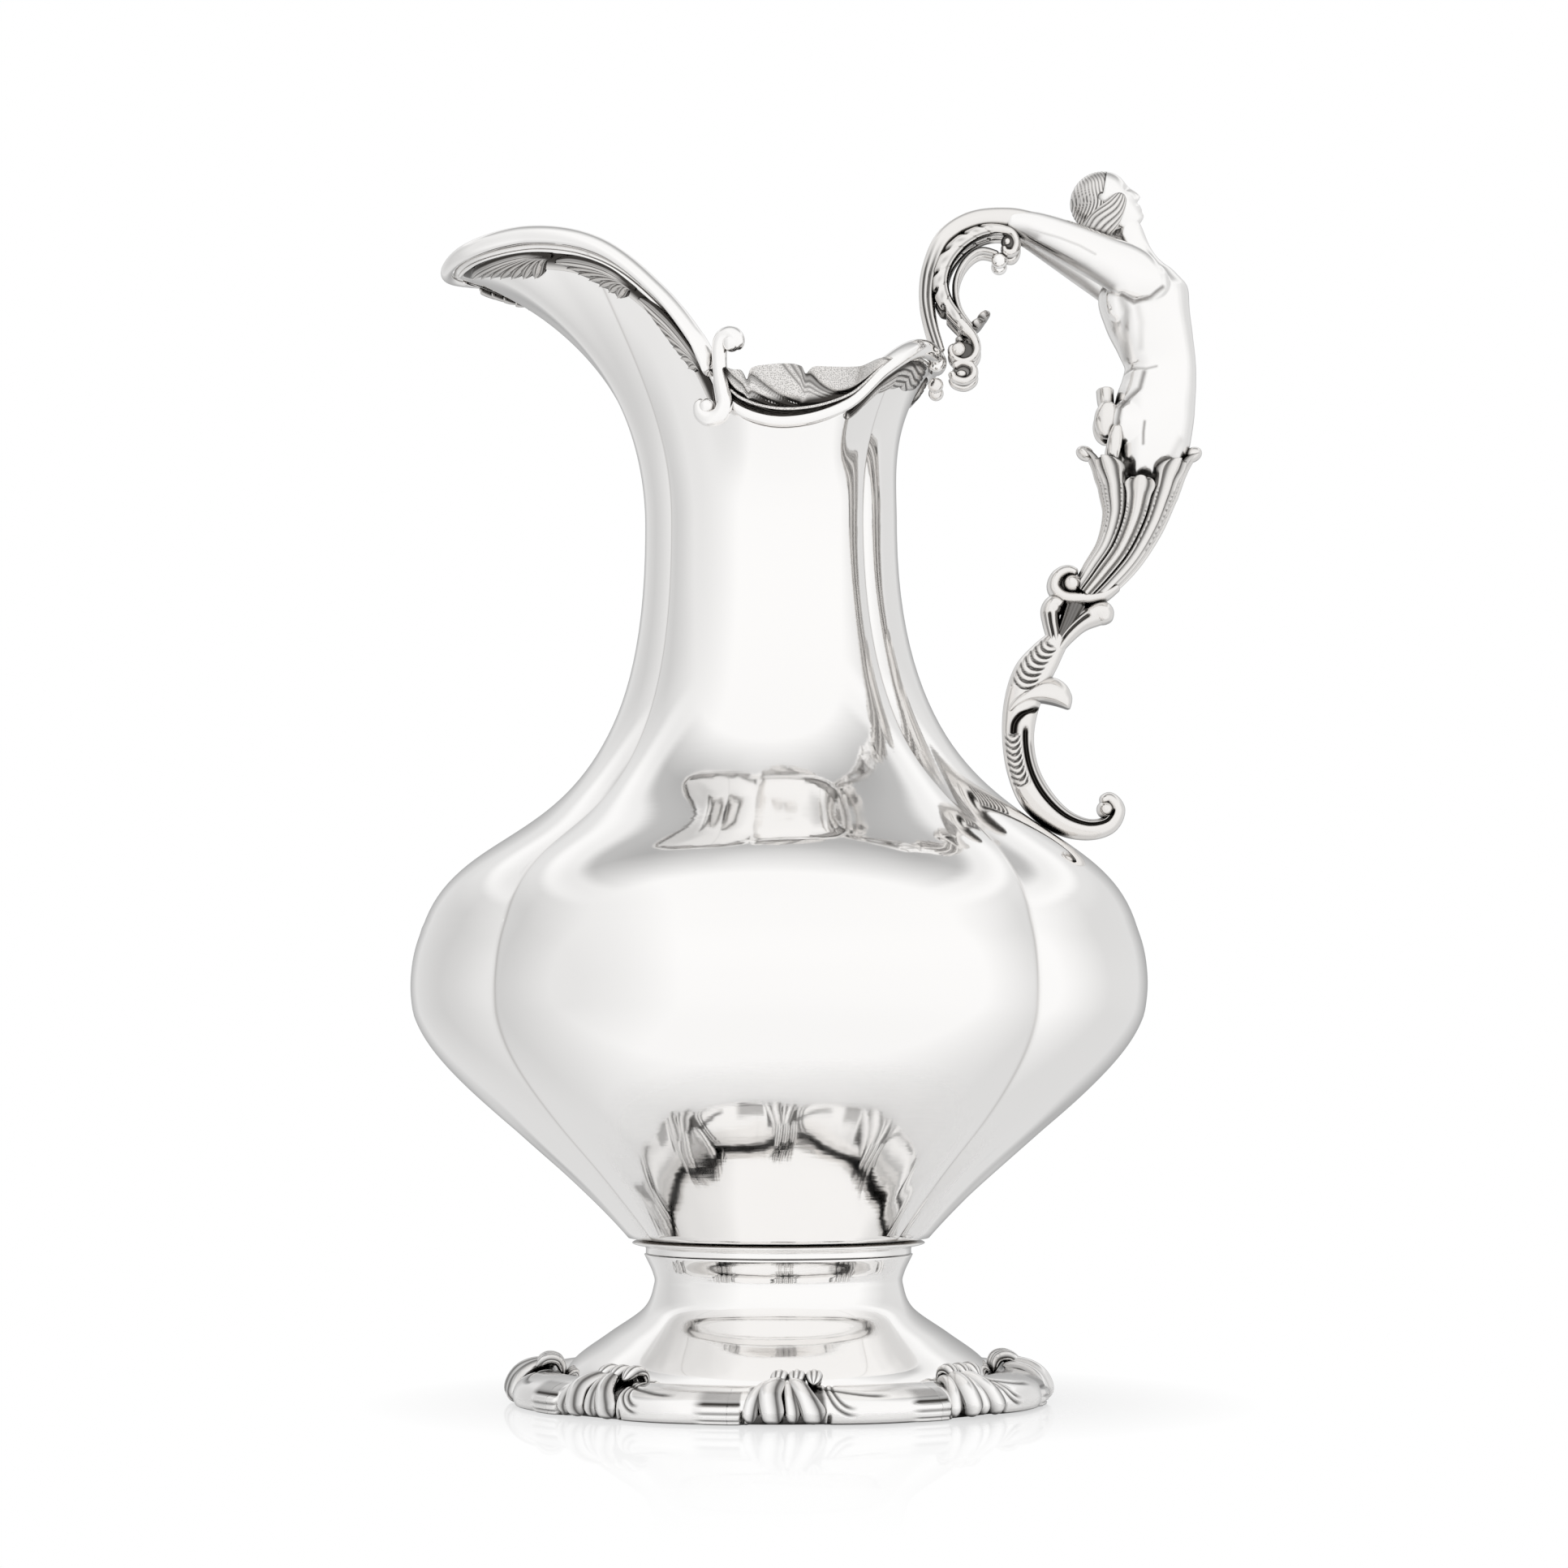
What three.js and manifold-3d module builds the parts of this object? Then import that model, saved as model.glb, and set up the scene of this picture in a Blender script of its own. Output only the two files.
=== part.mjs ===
// A silver wine jug: a raised body of four lobes on a spool foot, with a cast border round the foot,
// a cast rim and a cast figural handle, all soldered together. Millimetres, +Z up.
// The spout points to -X and the handle to +X. The near side is -Y, and the far side mirrors it.

import * as THREE from "three";
import { ParametricGeometry } from "three/addons/geometries/ParametricGeometry.js";
import { mergeVertices } from "three/addons/utils/BufferGeometryUtils.js";
import Module from "manifold-3d";

const wasm = await Module();
wasm.setup();

// Main sizes
const JUG_HEIGHT = 320; // from the table to the crown of the figure's head
const FOOT_RADIUS = 69.6; // outermost reach of the cast border
const BELLY_RADIUS = 95.6; // crest of the lobes at the widest level
const NECK_RADIUS = 32.9; // crest of the lobes at the narrowest level
const SPOUT_REACH = 51; // how far the tip of the spout stands out past the neck

// Sheet and solder
const WALL = 1; // thickness of the raised sheet
const SEAM = 0.3; // solder line between neighbouring pieces

// Foot
const BORDER_WIDTH = 13; // of the cast border, measured inwards
const BORDER_HEIGHT = 8.8; // of the cast border at its inner edge
const BORDER_UNITS = 8; // castings that make up the border
const WAIST_RADIUS = 32; // narrowest part of the pedestal
const PEDESTAL_HEIGHT = JUG_HEIGHT * 0.117; // top of the pedestal
const WAIST_HEIGHT = PEDESTAL_HEIGHT * 0.79; // level of the narrowest part
const PEDESTAL_LIP = 34.5; // radius of the pedestal's top edge
const COLLAR_RADIUS = 37.6; // moulded ring between pedestal and body
const COLLAR_HEIGHT = 3.6;

// Body
const BASE_RADIUS = 38.7; // where the body stands on the collar
const BELLY_HEIGHT = JUG_HEIGHT * 0.3327; // widest level
const NECK_HEIGHT = JUG_HEIGHT * 0.7053; // narrowest level
const NECK_LEAN = 2; // the neck stands this far towards the spout, and the shoulder a little towards the handle
const LOBE_DEPTH = 0.07; // creases lie this share of the radius below the crests

// Mouth, measured from the narrowest level of the neck
const BACK_RISE = JUG_HEIGHT * 0.1313; // height of the edge at the handle
const BACK_FLARE = 9; // how far the edge opens out at the handle
const DIP_RISE = JUG_HEIGHT * 0.061; // height of the edge at its lowest, on both sides
const DIP_FLARE = 6.5;
const SPOUT_RISE = JUG_HEIGHT * 0.2115; // height of the edge at the tip of the spout
const SPOUT_BEAD = 2.7; // radius of the thick lip round the spout
const SIDE_BEAD = 1.9; // radius of the bead round the sides and back
const SHELL_HEIGHT = 13; // upstanding shell leaf over each side dip
const LEAF_RELIEF = 1.5; // how far the applied leaves stand proud
const SCROLL_WIRE = 1.7; // radius of the S-scrolls on the rim

// Handle, drawn from its lower seat on the body
const SEAT_PLACE = 1.485; // of the lower seat along the body profile
const STRAND_SPREAD = 3.2; // each upper strand lies this far off the middle plane
const SHOULDER_SPREAD = 9.5; // each shoulder lies this far off the middle plane
const CALYX_PETALS = 8; // petals and ribs round the leafy cup
const PETAL_FLARE = 0.46; // how far the petals turn out, as a share of the cup's radius
const ROLL_LENGTH = 8; // width of the rolled leaf end under the cup
const PEARL_RADIUS = 2;

const SILVER = { color: 0xe4e2de, roughness: 0.16, metalness: 1 };
const OXIDISED = { color: 0xb9b5ae, roughness: 0.34, metalness: 1 };

// Levels and places that follow from the driving dimensions
const BODY_SEAT = PEDESTAL_HEIGHT + COLLAR_HEIGHT + 2 * SEAM;
const TURN = 2 * Math.PI;
const UP = new THREE.Vector3(0, 0, 1);
const ACROSS = new THREE.Vector3(0, 1, 0);

const degrees = THREE.MathUtils.degToRad;
const mix = THREE.MathUtils.lerp;

// Smooth values between stations. A station is [place, value, value, ...], in rising order of place.
function along(stations, place) {
  const last = stations.length - 2;
  const found = stations.findIndex((station, i) => i === last || place < stations[i + 1][0]);
  const [a, b] = [stations[found], stations[found + 1]];
  const before = stations[found - 1] ?? a;
  const after = stations[found + 2] ?? b;
  const span = b[0] - a[0];
  const t = THREE.MathUtils.clamp((place - a[0]) / span, 0, 1);
  return a.slice(1).map((value, i) => {
    const slopeA = ((b[i + 1] - before[i + 1]) / (b[0] - before[0])) * span;
    const slopeB = ((after[i + 1] - value) / (after[0] - a[0])) * span;
    const rise = b[i + 1] - value;
    return value + t * (slopeA + t * (3 * rise - 2 * slopeA - slopeB + t * (slopeA + slopeB - 2 * rise)));
  });
}

// Solid from a closed three.js geometry
function solid(geometry) {
  const bare = geometry.clone();
  bare.deleteAttribute("normal");
  bare.deleteAttribute("uv");
  const merged = mergeVertices(bare, 1e-4);
  const corners = merged.index.array;
  const faces = [];
  for (let i = 0; i < corners.length; i += 3) {
    const [a, b, c] = [corners[i], corners[i + 1], corners[i + 2]];
    if (a !== b && b !== c && c !== a) faces.push(a, b, c);
  }
  const vertProperties = new Float32Array(merged.attributes.position.array);
  const made = new wasm.Manifold(new wasm.Mesh({ numProp: 3, vertProperties, triVerts: new Uint32Array(faces) }));
  if (made.volume() > 0) return made;
  const turned = new Uint32Array(faces).reverse();
  return new wasm.Manifold(new wasm.Mesh({ numProp: 3, vertProperties, triVerts: turned }));
}

// Geometry of a solid's main body, without slivers that a cut leaves
function geometryOf(made) {
  const bodies = made.decompose();
  const main = bodies.reduce((best, body) => (body.volume() > best.volume() ? body : best));
  const mesh = main.getMesh();
  const geometry = new THREE.BufferGeometry();
  geometry.setAttribute("position", new THREE.BufferAttribute(mesh.vertProperties, 3));
  geometry.setIndex(new THREE.BufferAttribute(mesh.triVerts, 1));
  geometry.computeVertexNormals();
  return geometry;
}

// Closed loft: pointAt(t, turn) gives a ring for each t from 0 to 1, and both end rings are closed flat
function loft(around, steps, pointAt) {
  const ringCentre = (t) => {
    const centre = new THREE.Vector3();
    for (let i = 0; i < around; i += 1) centre.add(pointAt(t, (i / around) * TURN));
    return centre.divideScalar(around);
  };
  const ends = [ringCentre(0), ringCentre(1)];
  const rows = steps + 2;
  const place = (u, v, target) => {
    const row = Math.round(v * rows);
    const turn = Math.round((u % 1) * around) / around;
    if (row === 0) target.copy(ends[0]);
    else if (row === rows) target.copy(ends[1]);
    else target.copy(pointAt((row - 1) / steps, turn * TURN));
  };
  return solid(new ParametricGeometry(place, around, rows));
}

// Bar swept along a smooth path. A station is [x, y, z, half width across, half width in plane].
function bar(stations, around, steps, grow = 0, side = ACROSS, shape = () => 1) {
  const path = new THREE.CatmullRomCurve3(stations.map(([x, y, z]) => new THREE.Vector3(x, y, z)));
  const widths = stations.map(([, , , across, deep], i) => [i / (stations.length - 1), across, deep]);
  return loft(around, steps, (t, turn) => {
    const tangent = path.getTangent(t);
    const wide = side.clone().addScaledVector(tangent, -side.dot(tangent)).normalize();
    const deep = new THREE.Vector3().crossVectors(tangent, wide);
    const [a, b] = along(widths, t);
    const reach = shape(turn, t);
    const ends = (t - 0.5) * 2 * grow;
    return path
      .getPoint(t)
      .addScaledVector(tangent, ends)
      .addScaledVector(wide, (a * reach + grow) * Math.cos(turn))
      .addScaledVector(deep, (b * reach + grow) * Math.sin(turn));
  });
}

function ball(centre, radius, grow = 0, stretch = [1, 1, 1], tilt = 0) {
  const sphere = new THREE.SphereGeometry(1, 8, 5);
  sphere.scale(...stretch.map((share) => share * radius + grow));
  sphere.rotateY(tilt);
  sphere.translate(...centre);
  return solid(sphere);
}

const joined = (solids) => solids.reduce((whole, piece) => whole.add(piece));

// Piece made plain and then cut back from its neighbours by the solder line
const seated = (make, ...neighbours) =>
  neighbours.reduce((piece, neighbour) => piece.subtract(neighbour(SEAM)), make(0));

// Body: four lobes that meet in creases. The place along the profile runs from 0 at the collar
// through 1 at the belly and 2 at the neck to 3 at the edge of the mouth.
const LOWER_PROFILE = new THREE.CubicBezierCurve(
  new THREE.Vector2(BASE_RADIUS, BODY_SEAT),
  new THREE.Vector2(mix(BASE_RADIUS, BELLY_RADIUS, 0.42), mix(BODY_SEAT, BELLY_HEIGHT, 0.42)),
  new THREE.Vector2(BELLY_RADIUS, mix(BODY_SEAT, BELLY_HEIGHT, 0.675)),
  new THREE.Vector2(BELLY_RADIUS, BELLY_HEIGHT),
);
const UPPER_PROFILE = new THREE.CubicBezierCurve(
  new THREE.Vector2(BELLY_RADIUS, BELLY_HEIGHT),
  new THREE.Vector2(BELLY_RADIUS, mix(BELLY_HEIGHT, NECK_HEIGHT, 0.43)),
  new THREE.Vector2(NECK_RADIUS, mix(BELLY_HEIGHT, NECK_HEIGHT, 0.19)),
  new THREE.Vector2(NECK_RADIUS, NECK_HEIGHT),
);
const CREASE_ANGLES = [[0, 56], [1, 48], [2, 54], [3, 54]]; // place, degrees from the front
const LOBE_SHARES = [[0, 0.6], [1, 1], [2, 1.1], [3, 1.1]]; // place, share of the lobe depth
const LEANS = [[0, 0], [1, 0], [1.25, -0.26], [1.5, -0.6], [1.75, 0.3], [2, 1], [3, 1]]; // place, share of the lean

// Edge of the mouth: angle from the handle, radius about the neck, rise, flare from upright in degrees
const EDGE = [
  [0, NECK_RADIUS + BACK_FLARE, BACK_RISE, 35],
  [28, NECK_RADIUS + BACK_FLARE, mix(BACK_RISE, DIP_RISE, 0.06), 35],
  [45, NECK_RADIUS + mix(BACK_FLARE, DIP_FLARE, 0.4), mix(BACK_RISE, DIP_RISE, 0.37), 33],
  [60, NECK_RADIUS + mix(BACK_FLARE, DIP_FLARE, 0.7), mix(BACK_RISE, DIP_RISE, 0.8), 31],
  [80, NECK_RADIUS + DIP_FLARE, DIP_RISE, 30],
  [97, NECK_RADIUS + DIP_FLARE, mix(DIP_RISE, SPOUT_RISE, 0.05), 28],
  [106, NECK_RADIUS + mix(DIP_FLARE, SPOUT_REACH, 0.01), mix(DIP_RISE, SPOUT_RISE, 0.2), 26],
  [113, NECK_RADIUS + mix(DIP_FLARE, SPOUT_REACH, 0.04), mix(DIP_RISE, SPOUT_RISE, 0.415), 24],
  [125, NECK_RADIUS + mix(DIP_FLARE, SPOUT_REACH, 0.13), mix(DIP_RISE, SPOUT_RISE, 0.68), 22],
  [140, NECK_RADIUS + mix(DIP_FLARE, SPOUT_REACH, 0.31), mix(DIP_RISE, SPOUT_RISE, 0.935), 26],
  [155, NECK_RADIUS + mix(DIP_FLARE, SPOUT_REACH, 0.57), mix(DIP_RISE, SPOUT_RISE, 1.045), 40],
  [168, NECK_RADIUS + mix(DIP_FLARE, SPOUT_REACH, 0.87), mix(DIP_RISE, SPOUT_RISE, 1.03), 60],
  [180, NECK_RADIUS + SPOUT_REACH, SPOUT_RISE, 78],
];

const mirroredStation = (station, about) => [2 * about - station[0], ...station.slice(1)];
const WHOLE_EDGE = [mirroredStation(EDGE[1], 0), ...EDGE, mirroredStation(EDGE.at(-2), 180)];

const outward = (theta) => new THREE.Vector3(Math.cos(theta), Math.sin(theta), 0);

// Angle from the handle, the same on both sides, from 0 to 180 degrees
function fromHandle(theta) {
  const turned = THREE.MathUtils.euclideanModulo(theta, TURN);
  return THREE.MathUtils.radToDeg(turned > Math.PI ? TURN - turned : turned);
}

function edgePoint(theta) {
  const [radius, rise] = along(WHOLE_EDGE, fromHandle(theta));
  return outward(theta).multiplyScalar(radius).add(new THREE.Vector3(-NECK_LEAN, 0, NECK_HEIGHT + rise));
}

function edgeFlare(theta) {
  const flare = degrees(along(WHOLE_EDGE, fromHandle(theta))[2]);
  return outward(theta).multiplyScalar(Math.sin(flare)).addScaledVector(UP, Math.cos(flare));
}

// How far an angle lies from the crest of its lobe, from 0 at the crest to 1 at the crease
function creaseShare(theta, place) {
  const crease = along(CREASE_ANGLES, place)[0];
  const fromSide = Math.min(fromHandle(theta), 180 - fromHandle(theta));
  return fromSide < 90 - crease ? fromSide / (90 - crease) : (90 - fromSide) / crease;
}

function profilePoint(theta, place) {
  const upper = place > 1;
  const point = upper ? UPPER_PROFILE.getPoint(Math.min(place, 2) - 1) : LOWER_PROFILE.getPoint(place);
  const depth = LOBE_DEPTH * along(LOBE_SHARES, place)[0];
  const radius = point.x * (1 - depth * creaseShare(theta, place) ** 2);
  const lean = NECK_LEAN * along(LEANS, place)[0];
  return outward(theta).multiplyScalar(radius).add(new THREE.Vector3(-lean, 0, point.y));
}

function bodyPoint(theta, place) {
  if (place <= 2) return profilePoint(theta, place);
  const foot = profilePoint(theta, 2);
  const edge = edgePoint(theta);
  const chord = foot.distanceTo(edge);
  const lower = foot.clone().addScaledVector(UP, chord * 0.33);
  const upper = edge.clone().addScaledVector(edgeFlare(theta), -chord * 0.45);
  return new THREE.CubicBezierCurve3(foot, lower, upper, edge).getPoint(place - 2);
}

function bodyNormal(theta, place) {
  const step = 1e-3;
  const low = Math.max(place - step, 0);
  const high = Math.min(place + step, 3);
  const up = bodyPoint(theta, high).sub(bodyPoint(theta, low));
  const round = bodyPoint(theta + step, place).sub(bodyPoint(theta - step, place));
  return round.cross(up).normalize();
}

// Angle of a facet line, so that the lines lie along the creases: ten facets to a front lobe, eight to a side lobe
function facetAngle(line, place) {
  const crease = along(CREASE_ANGLES, place)[0];
  const sides = 8;
  const fronts = 10;
  const half = line % (sides + fronts);
  const base = Math.floor(line / (sides + fronts)) * Math.PI;
  const sideAngle = (half / (sides / 2)) * (90 - crease);
  if (half <= sides / 2) return base + degrees(sideAngle);
  const intoFront = half - sides / 2;
  if (intoFront <= fronts) return base + degrees(90 - crease + (intoFront / fronts) * 2 * crease);
  return base + degrees(90 + crease + ((intoFront - fronts) / (sides / 2)) * (90 - crease));
}

const FACET_LINES = 36;
const PLACES = [0, 0.17, 0.34, 0.52, 0.7, 0.86, 1, 1.16, 1.3, 1.44, 1.59, 1.78, 2, 2.28, 2.55, 2.8, 3];

function body(grow) {
  const rows = [
    ...PLACES.map((place) => ({ place, offset: grow })),
    ...PLACES.toReversed().map((place) => ({ place: Math.max(place, 0.04), offset: -WALL - grow })),
  ];
  const floors = [BODY_SEAT - grow, BODY_SEAT + WALL + grow];
  const last = rows.length + 1;
  const surface = (u, v, target) => {
    const row = Math.round(v * last);
    if (row === 0 || row === last) {
      target.set(0, 0, floors[row === 0 ? 0 : 1]);
      return;
    }
    const { place, offset } = rows[row - 1];
    const theta = facetAngle(Math.round(u * FACET_LINES) % FACET_LINES, place);
    target.copy(bodyPoint(theta, place)).addScaledVector(bodyNormal(theta, place), offset);
    if (place === 0) target.z = BODY_SEAT - grow;
    if (place === 3) target.addScaledVector(edgeFlare(theta), grow);
  };
  return solid(new ParametricGeometry(surface, FACET_LINES, last));
}

const LATHE_FACETS = 26;

// Ring turned on the lathe from a closed outline of [radius, height] points
function turned(outline, around) {
  const closed = [...outline, outline[0]].map(([radius, height]) => new THREE.Vector2(radius, height));
  return solid(new THREE.LatheGeometry(closed, around).rotateX(Math.PI / 2));
}

// Collar: a half-round moulding with a fillet below, between the pedestal and the body
function collar() {
  const low = PEDESTAL_HEIGHT + SEAM;
  const middle = low + COLLAR_HEIGHT * 0.6;
  const inner = PEDESTAL_LIP - 3 * WALL;
  return turned([
    [inner, low],
    [PEDESTAL_LIP, low],
    [PEDESTAL_LIP + 0.8, low + COLLAR_HEIGHT * 0.25],
    [COLLAR_RADIUS, middle],
    [COLLAR_RADIUS, low + COLLAR_HEIGHT * 0.8],
    [COLLAR_RADIUS - 0.9, low + COLLAR_HEIGHT],
    [inner, low + COLLAR_HEIGHT],
  ], LATHE_FACETS);
}

// Pedestal: a spool raised from sheet, open below, with a flat flange that carries the border
const FLANGE_RADIUS = FOOT_RADIUS - 3;
const FLANGE_HEIGHT = 1.4;
const BORDER_INNER = FOOT_RADIUS - BORDER_WIDTH;

function pedestal() {
  const spool = new THREE.SplineCurve([
    new THREE.Vector2(PEDESTAL_LIP, PEDESTAL_HEIGHT),
    new THREE.Vector2(WAIST_RADIUS + 0.3, mix(WAIST_HEIGHT, PEDESTAL_HEIGHT, 0.4)),
    new THREE.Vector2(WAIST_RADIUS, WAIST_HEIGHT),
    new THREE.Vector2(WAIST_RADIUS + 2.6, WAIST_HEIGHT * 0.8),
    new THREE.Vector2(mix(WAIST_RADIUS, BORDER_INNER, 0.47), WAIST_HEIGHT * 0.585),
    new THREE.Vector2(mix(WAIST_RADIUS, BORDER_INNER, 0.82), mix(FLANGE_HEIGHT, WAIST_HEIGHT, 0.34)),
    new THREE.Vector2(BORDER_INNER - SEAM, FLANGE_HEIGHT + 3),
  ]);
  const outer = spool.getPoints(8).map((point) => [point.x, point.y]);
  const inner = spool.getPoints(4).map((point) => [point.x - WALL * 2, point.y]).reverse();
  return turned([
    ...outer,
    [BORDER_INNER - SEAM, FLANGE_HEIGHT],
    [FLANGE_RADIUS, FLANGE_HEIGHT],
    [FLANGE_RADIUS, 0],
    [BORDER_INNER - 2 * WALL, 0],
    ...inner,
  ], LATHE_FACETS);
}

// One casting of the foot border, from left to right: a block, a leafy clasp with two ribbed buds on its
// inner side and three toes at the bottom, and a long smooth rounded band
const UNIT_ANGLE = TURN / BORDER_UNITS;
const BUDS = [0.2, 0.35]; // share of the unit's angle
const TOES = [0.16, 0.26, 0.36];
const BORDER_STEPS = [0, 0.04, 0.09, 0.12, 0.16, 0.2, 0.235, 0.275, 0.31, 0.35, 0.39, 0.44, 0.5, 0.62, 0.75, 0.88, 1];
const BAND_REACH = [[0, 0.88], [0.09, 0.9], [0.14, 0.8], [0.4, 0.82], [0.5, 0.92], [0.74, 1], [0.92, 0.94], [1, 0.88]];

const bump = (at, centres, width) =>
  centres.reduce((sum, centre) => sum + Math.exp(-(((at - centre) / width) ** 2)), 0);

function borderUnit() {
  const gap = SEAM / BORDER_INNER;
  const low = FLANGE_HEIGHT + SEAM;
  // share of the width, share of the height, how much the buds and the toes swell this point
  const outline = [[0, 0, 0, 0], [0.8, 0, 0, 0.1], [1, 0.2, 0, 0.16], [0.9, 0.55, 0, 0.05], [0.45, 0.95, 0.25, 0],
    [0.12, 1, 0.42, 0], [0, 0.8, 0.12, 0]];
  return loft(outline.length, BORDER_STEPS.length - 1, (t, turn) => {
    const [share, rise, bud, toe] = outline[Math.round((turn / TURN) * outline.length) % outline.length];
    const at = BORDER_STEPS[Math.round(t * (BORDER_STEPS.length - 1))];
    const reach = share * along(BAND_REACH, at)[0] + toe * bump(at, TOES, 0.04);
    const height = rise * (0.75 + 0.25 * along(BAND_REACH, at)[0]) + bud * bump(at, BUDS, 0.045);
    const radius = BORDER_INNER + reach * BORDER_WIDTH;
    const theta = mix(gap, UNIT_ANGLE - gap, at);
    return outward(theta).multiplyScalar(radius).addScaledVector(UP, low + height * (BORDER_HEIGHT - low));
  });
}

// Bead that stands on the edge of the mouth between two angles from the handle, thinner midway by a share
function edgeBead(fromAngle, toAngle, radius, thinner, steps, grow) {
  return loft(7, steps, (t, turn) => {
    const theta = degrees(mix(fromAngle - grow, toAngle + grow, t));
    const flare = edgeFlare(theta);
    const ahead = edgePoint(theta + 1e-3).sub(edgePoint(theta - 1e-3)).normalize();
    const out = new THREE.Vector3().crossVectors(ahead, flare).normalize();
    const reach = radius * (1 - thinner * Math.sin(Math.PI * t) ** 2);
    return edgePoint(theta)
      .addScaledVector(flare, reach + SEAM + (reach + grow) * Math.sin(turn))
      .addScaledVector(out, (reach + grow) * Math.cos(turn));
  });
}

const SPOUT_ANGLE = 110.5; // degrees from the handle where the thick lip begins
const SIDE_ANGLE = 102.5; // degrees from the handle where the side bead ends
const BACK_ANGLE = 7;

const spoutRim = (grow) => edgeBead(SPOUT_ANGLE, 360 - SPOUT_ANGLE, SPOUT_BEAD, 0.24, 30, grow);
const sideRim = (grow) => edgeBead(-SIDE_ANGLE, -BACK_ANGLE, SIDE_BEAD, 0, 16, grow);

// Leaf laid on the outside of the body between two angles, with a lobed outline and a raised middle
function laidLeaf(angles, places, lobes, grow) {
  return loft(8, 14, (t, turn) => {
    const theta = degrees(mix(angles[0], angles[1], t));
    const scallop = 0.62 + 0.38 * Math.abs(Math.sin(lobes * Math.PI * t));
    const pointed = Math.min(1, 0.25 + 5 * t, 0.25 + 5 * (1 - t));
    const middle = mix(places[0], places[1], 0.6);
    const reach = (places[1] - places[0]) * 0.5 * scallop * pointed;
    const place = Math.min(middle + reach * Math.cos(turn), 2.97);
    const lift = 2 * SEAM + LEAF_RELIEF * (0.5 + 0.5 * Math.sin(turn)) + grow * Math.sign(Math.sin(turn));
    return bodyPoint(theta, place).addScaledVector(bodyNormal(theta, place), lift);
  });
}

const spoutLeaf = (grow) => laidLeaf([-174, -113], [2.85, 2.97], 3, grow);
const rearLeaf = (grow) => laidLeaf([-58, -14], [2.8, 2.97], 2, grow);

// Shell leaf that stands up from the side bead, with a notched top edge
function sideShell(grow) {
  const crown = [
    [0, 0.5],
    [0.1, 0.74],
    [0.14, 0.66],
    [0.2, 0.95],
    [0.34, 1.03],
    [0.43, 0.84],
    [0.49, 0.92],
    [0.66, 0.74],
    [0.82, 0.5],
    [1, 0.12],
  ];
  return loft(6, 22, (t, turn) => {
    const theta = degrees(mix(-100, -44, t));
    const flare = edgeFlare(theta);
    const height = SHELL_HEIGHT * along(crown, t)[0];
    const rise = 2 * SIDE_BEAD + 2 * SEAM + height * (0.5 + 0.5 * Math.cos(turn)) + grow * Math.cos(turn);
    const thick = (0.9 + grow) * Math.sin(turn);
    return edgePoint(theta).addScaledVector(flare, rise).addScaledVector(outward(theta), thick);
  });
}

// S-scroll that steps the rim down from the spout lip to the side bead, flat against the near side
function rimScroll(grow) {
  const middle = degrees(-(SPOUT_ANGLE + SIDE_ANGLE) / 2);
  const seat = edgePoint(middle).addScaledVector(outward(middle), SCROLL_WIRE + 1);
  const right = new THREE.Vector3().crossVectors(UP, outward(middle));
  const path = [
    [5.9, 10],
    [5.9, 11.8],
    [4.1, 12.9],
    [2.3, 12.1],
    [1.5, 9.6],
    [1.5, 6],
    [2.4, -1],
    [2.9, -4.3],
    [1.7, -7.2],
    [-0.8, -8],
    [-3.1, -6.8],
    [-3.6, -4.6],
    [-2.2, -3.4],
  ];
  const stations = path.map(([along_, up]) => [
    ...seat.clone().addScaledVector(right, along_).addScaledVector(UP, up).toArray(),
    SCROLL_WIRE,
    SCROLL_WIRE,
  ]);
  return bar(stations, 6, 26, grow, outward(middle));
}

// Places on the handle, drawn in its middle plane from the lower seat and fitted between both seats
// The drawing has the upper seat 24.8 nearer the axis than the lower one and 118.6 above it.
const LOWER = bodyPoint(0, SEAT_PLACE);
const UPPER = edgePoint(0);
const HANDLE_SCALE = (UPPER.z - LOWER.z) / 118.6;

function onHandle(reach, rise, spread = 0) {
  const lean = (rise / 118.6) * (UPPER.x - LOWER.x + 24.8 * HANDLE_SCALE);
  return [LOWER.x + reach * HANDLE_SCALE + lean, spread, LOWER.z + rise * HANDLE_SCALE];
}

// Stations of a handle bar from [reach, rise, half width across, half width in plane, spread]
const drawn = (rows) => rows.map(([reach, rise, across, deep, spread = 0]) =>
  [...onHandle(reach, rise, spread), across * HANDLE_SCALE, deep * HANDLE_SCALE]);

// Lower scroll: rises from the shoulder of the body, its tail curling outwards
const lowerScroll = (grow) => bar(drawn([
  [9, 53, 4, 3],
  [7, 50.2, 4.6, 3.6],
  [3.7, 45.4, 5, 4.4],
  [-1, 38.1, 5, 4.6],
  [-3.6, 30.7, 4.8, 4.2],
  [-4.6, 22.3, 4.8, 4],
  [-3.5, 13.9, 5.2, 4.2],
  [-0.1, 6.6, 5.6, 4.4],
  [6.2, 0.9, 5.6, 3.6],
  [13.3, -1.2, 5, 2.8],
  [19.2, 0.5, 4.6, 2.3],
  [21.3, 3.8, 4.4, 2.1],
  [19.2, 5.9, 4.2, 1.8],
  [17.5, 4.3, 4, 1.4],
]), 8, 28, grow);

// Hooded leaf on the outer side of the lower scroll
const lowerLeaf = (grow) => bar(drawn([
  [-3.4, 32.6, 4.4, 2.2],
  [0.8, 34.6, 4.8, 3.2],
  [5.2, 33.9, 4.8, 3.6],
  [8.2, 31.2, 3.4, 1.4],
]), 8, 9, grow);

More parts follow.
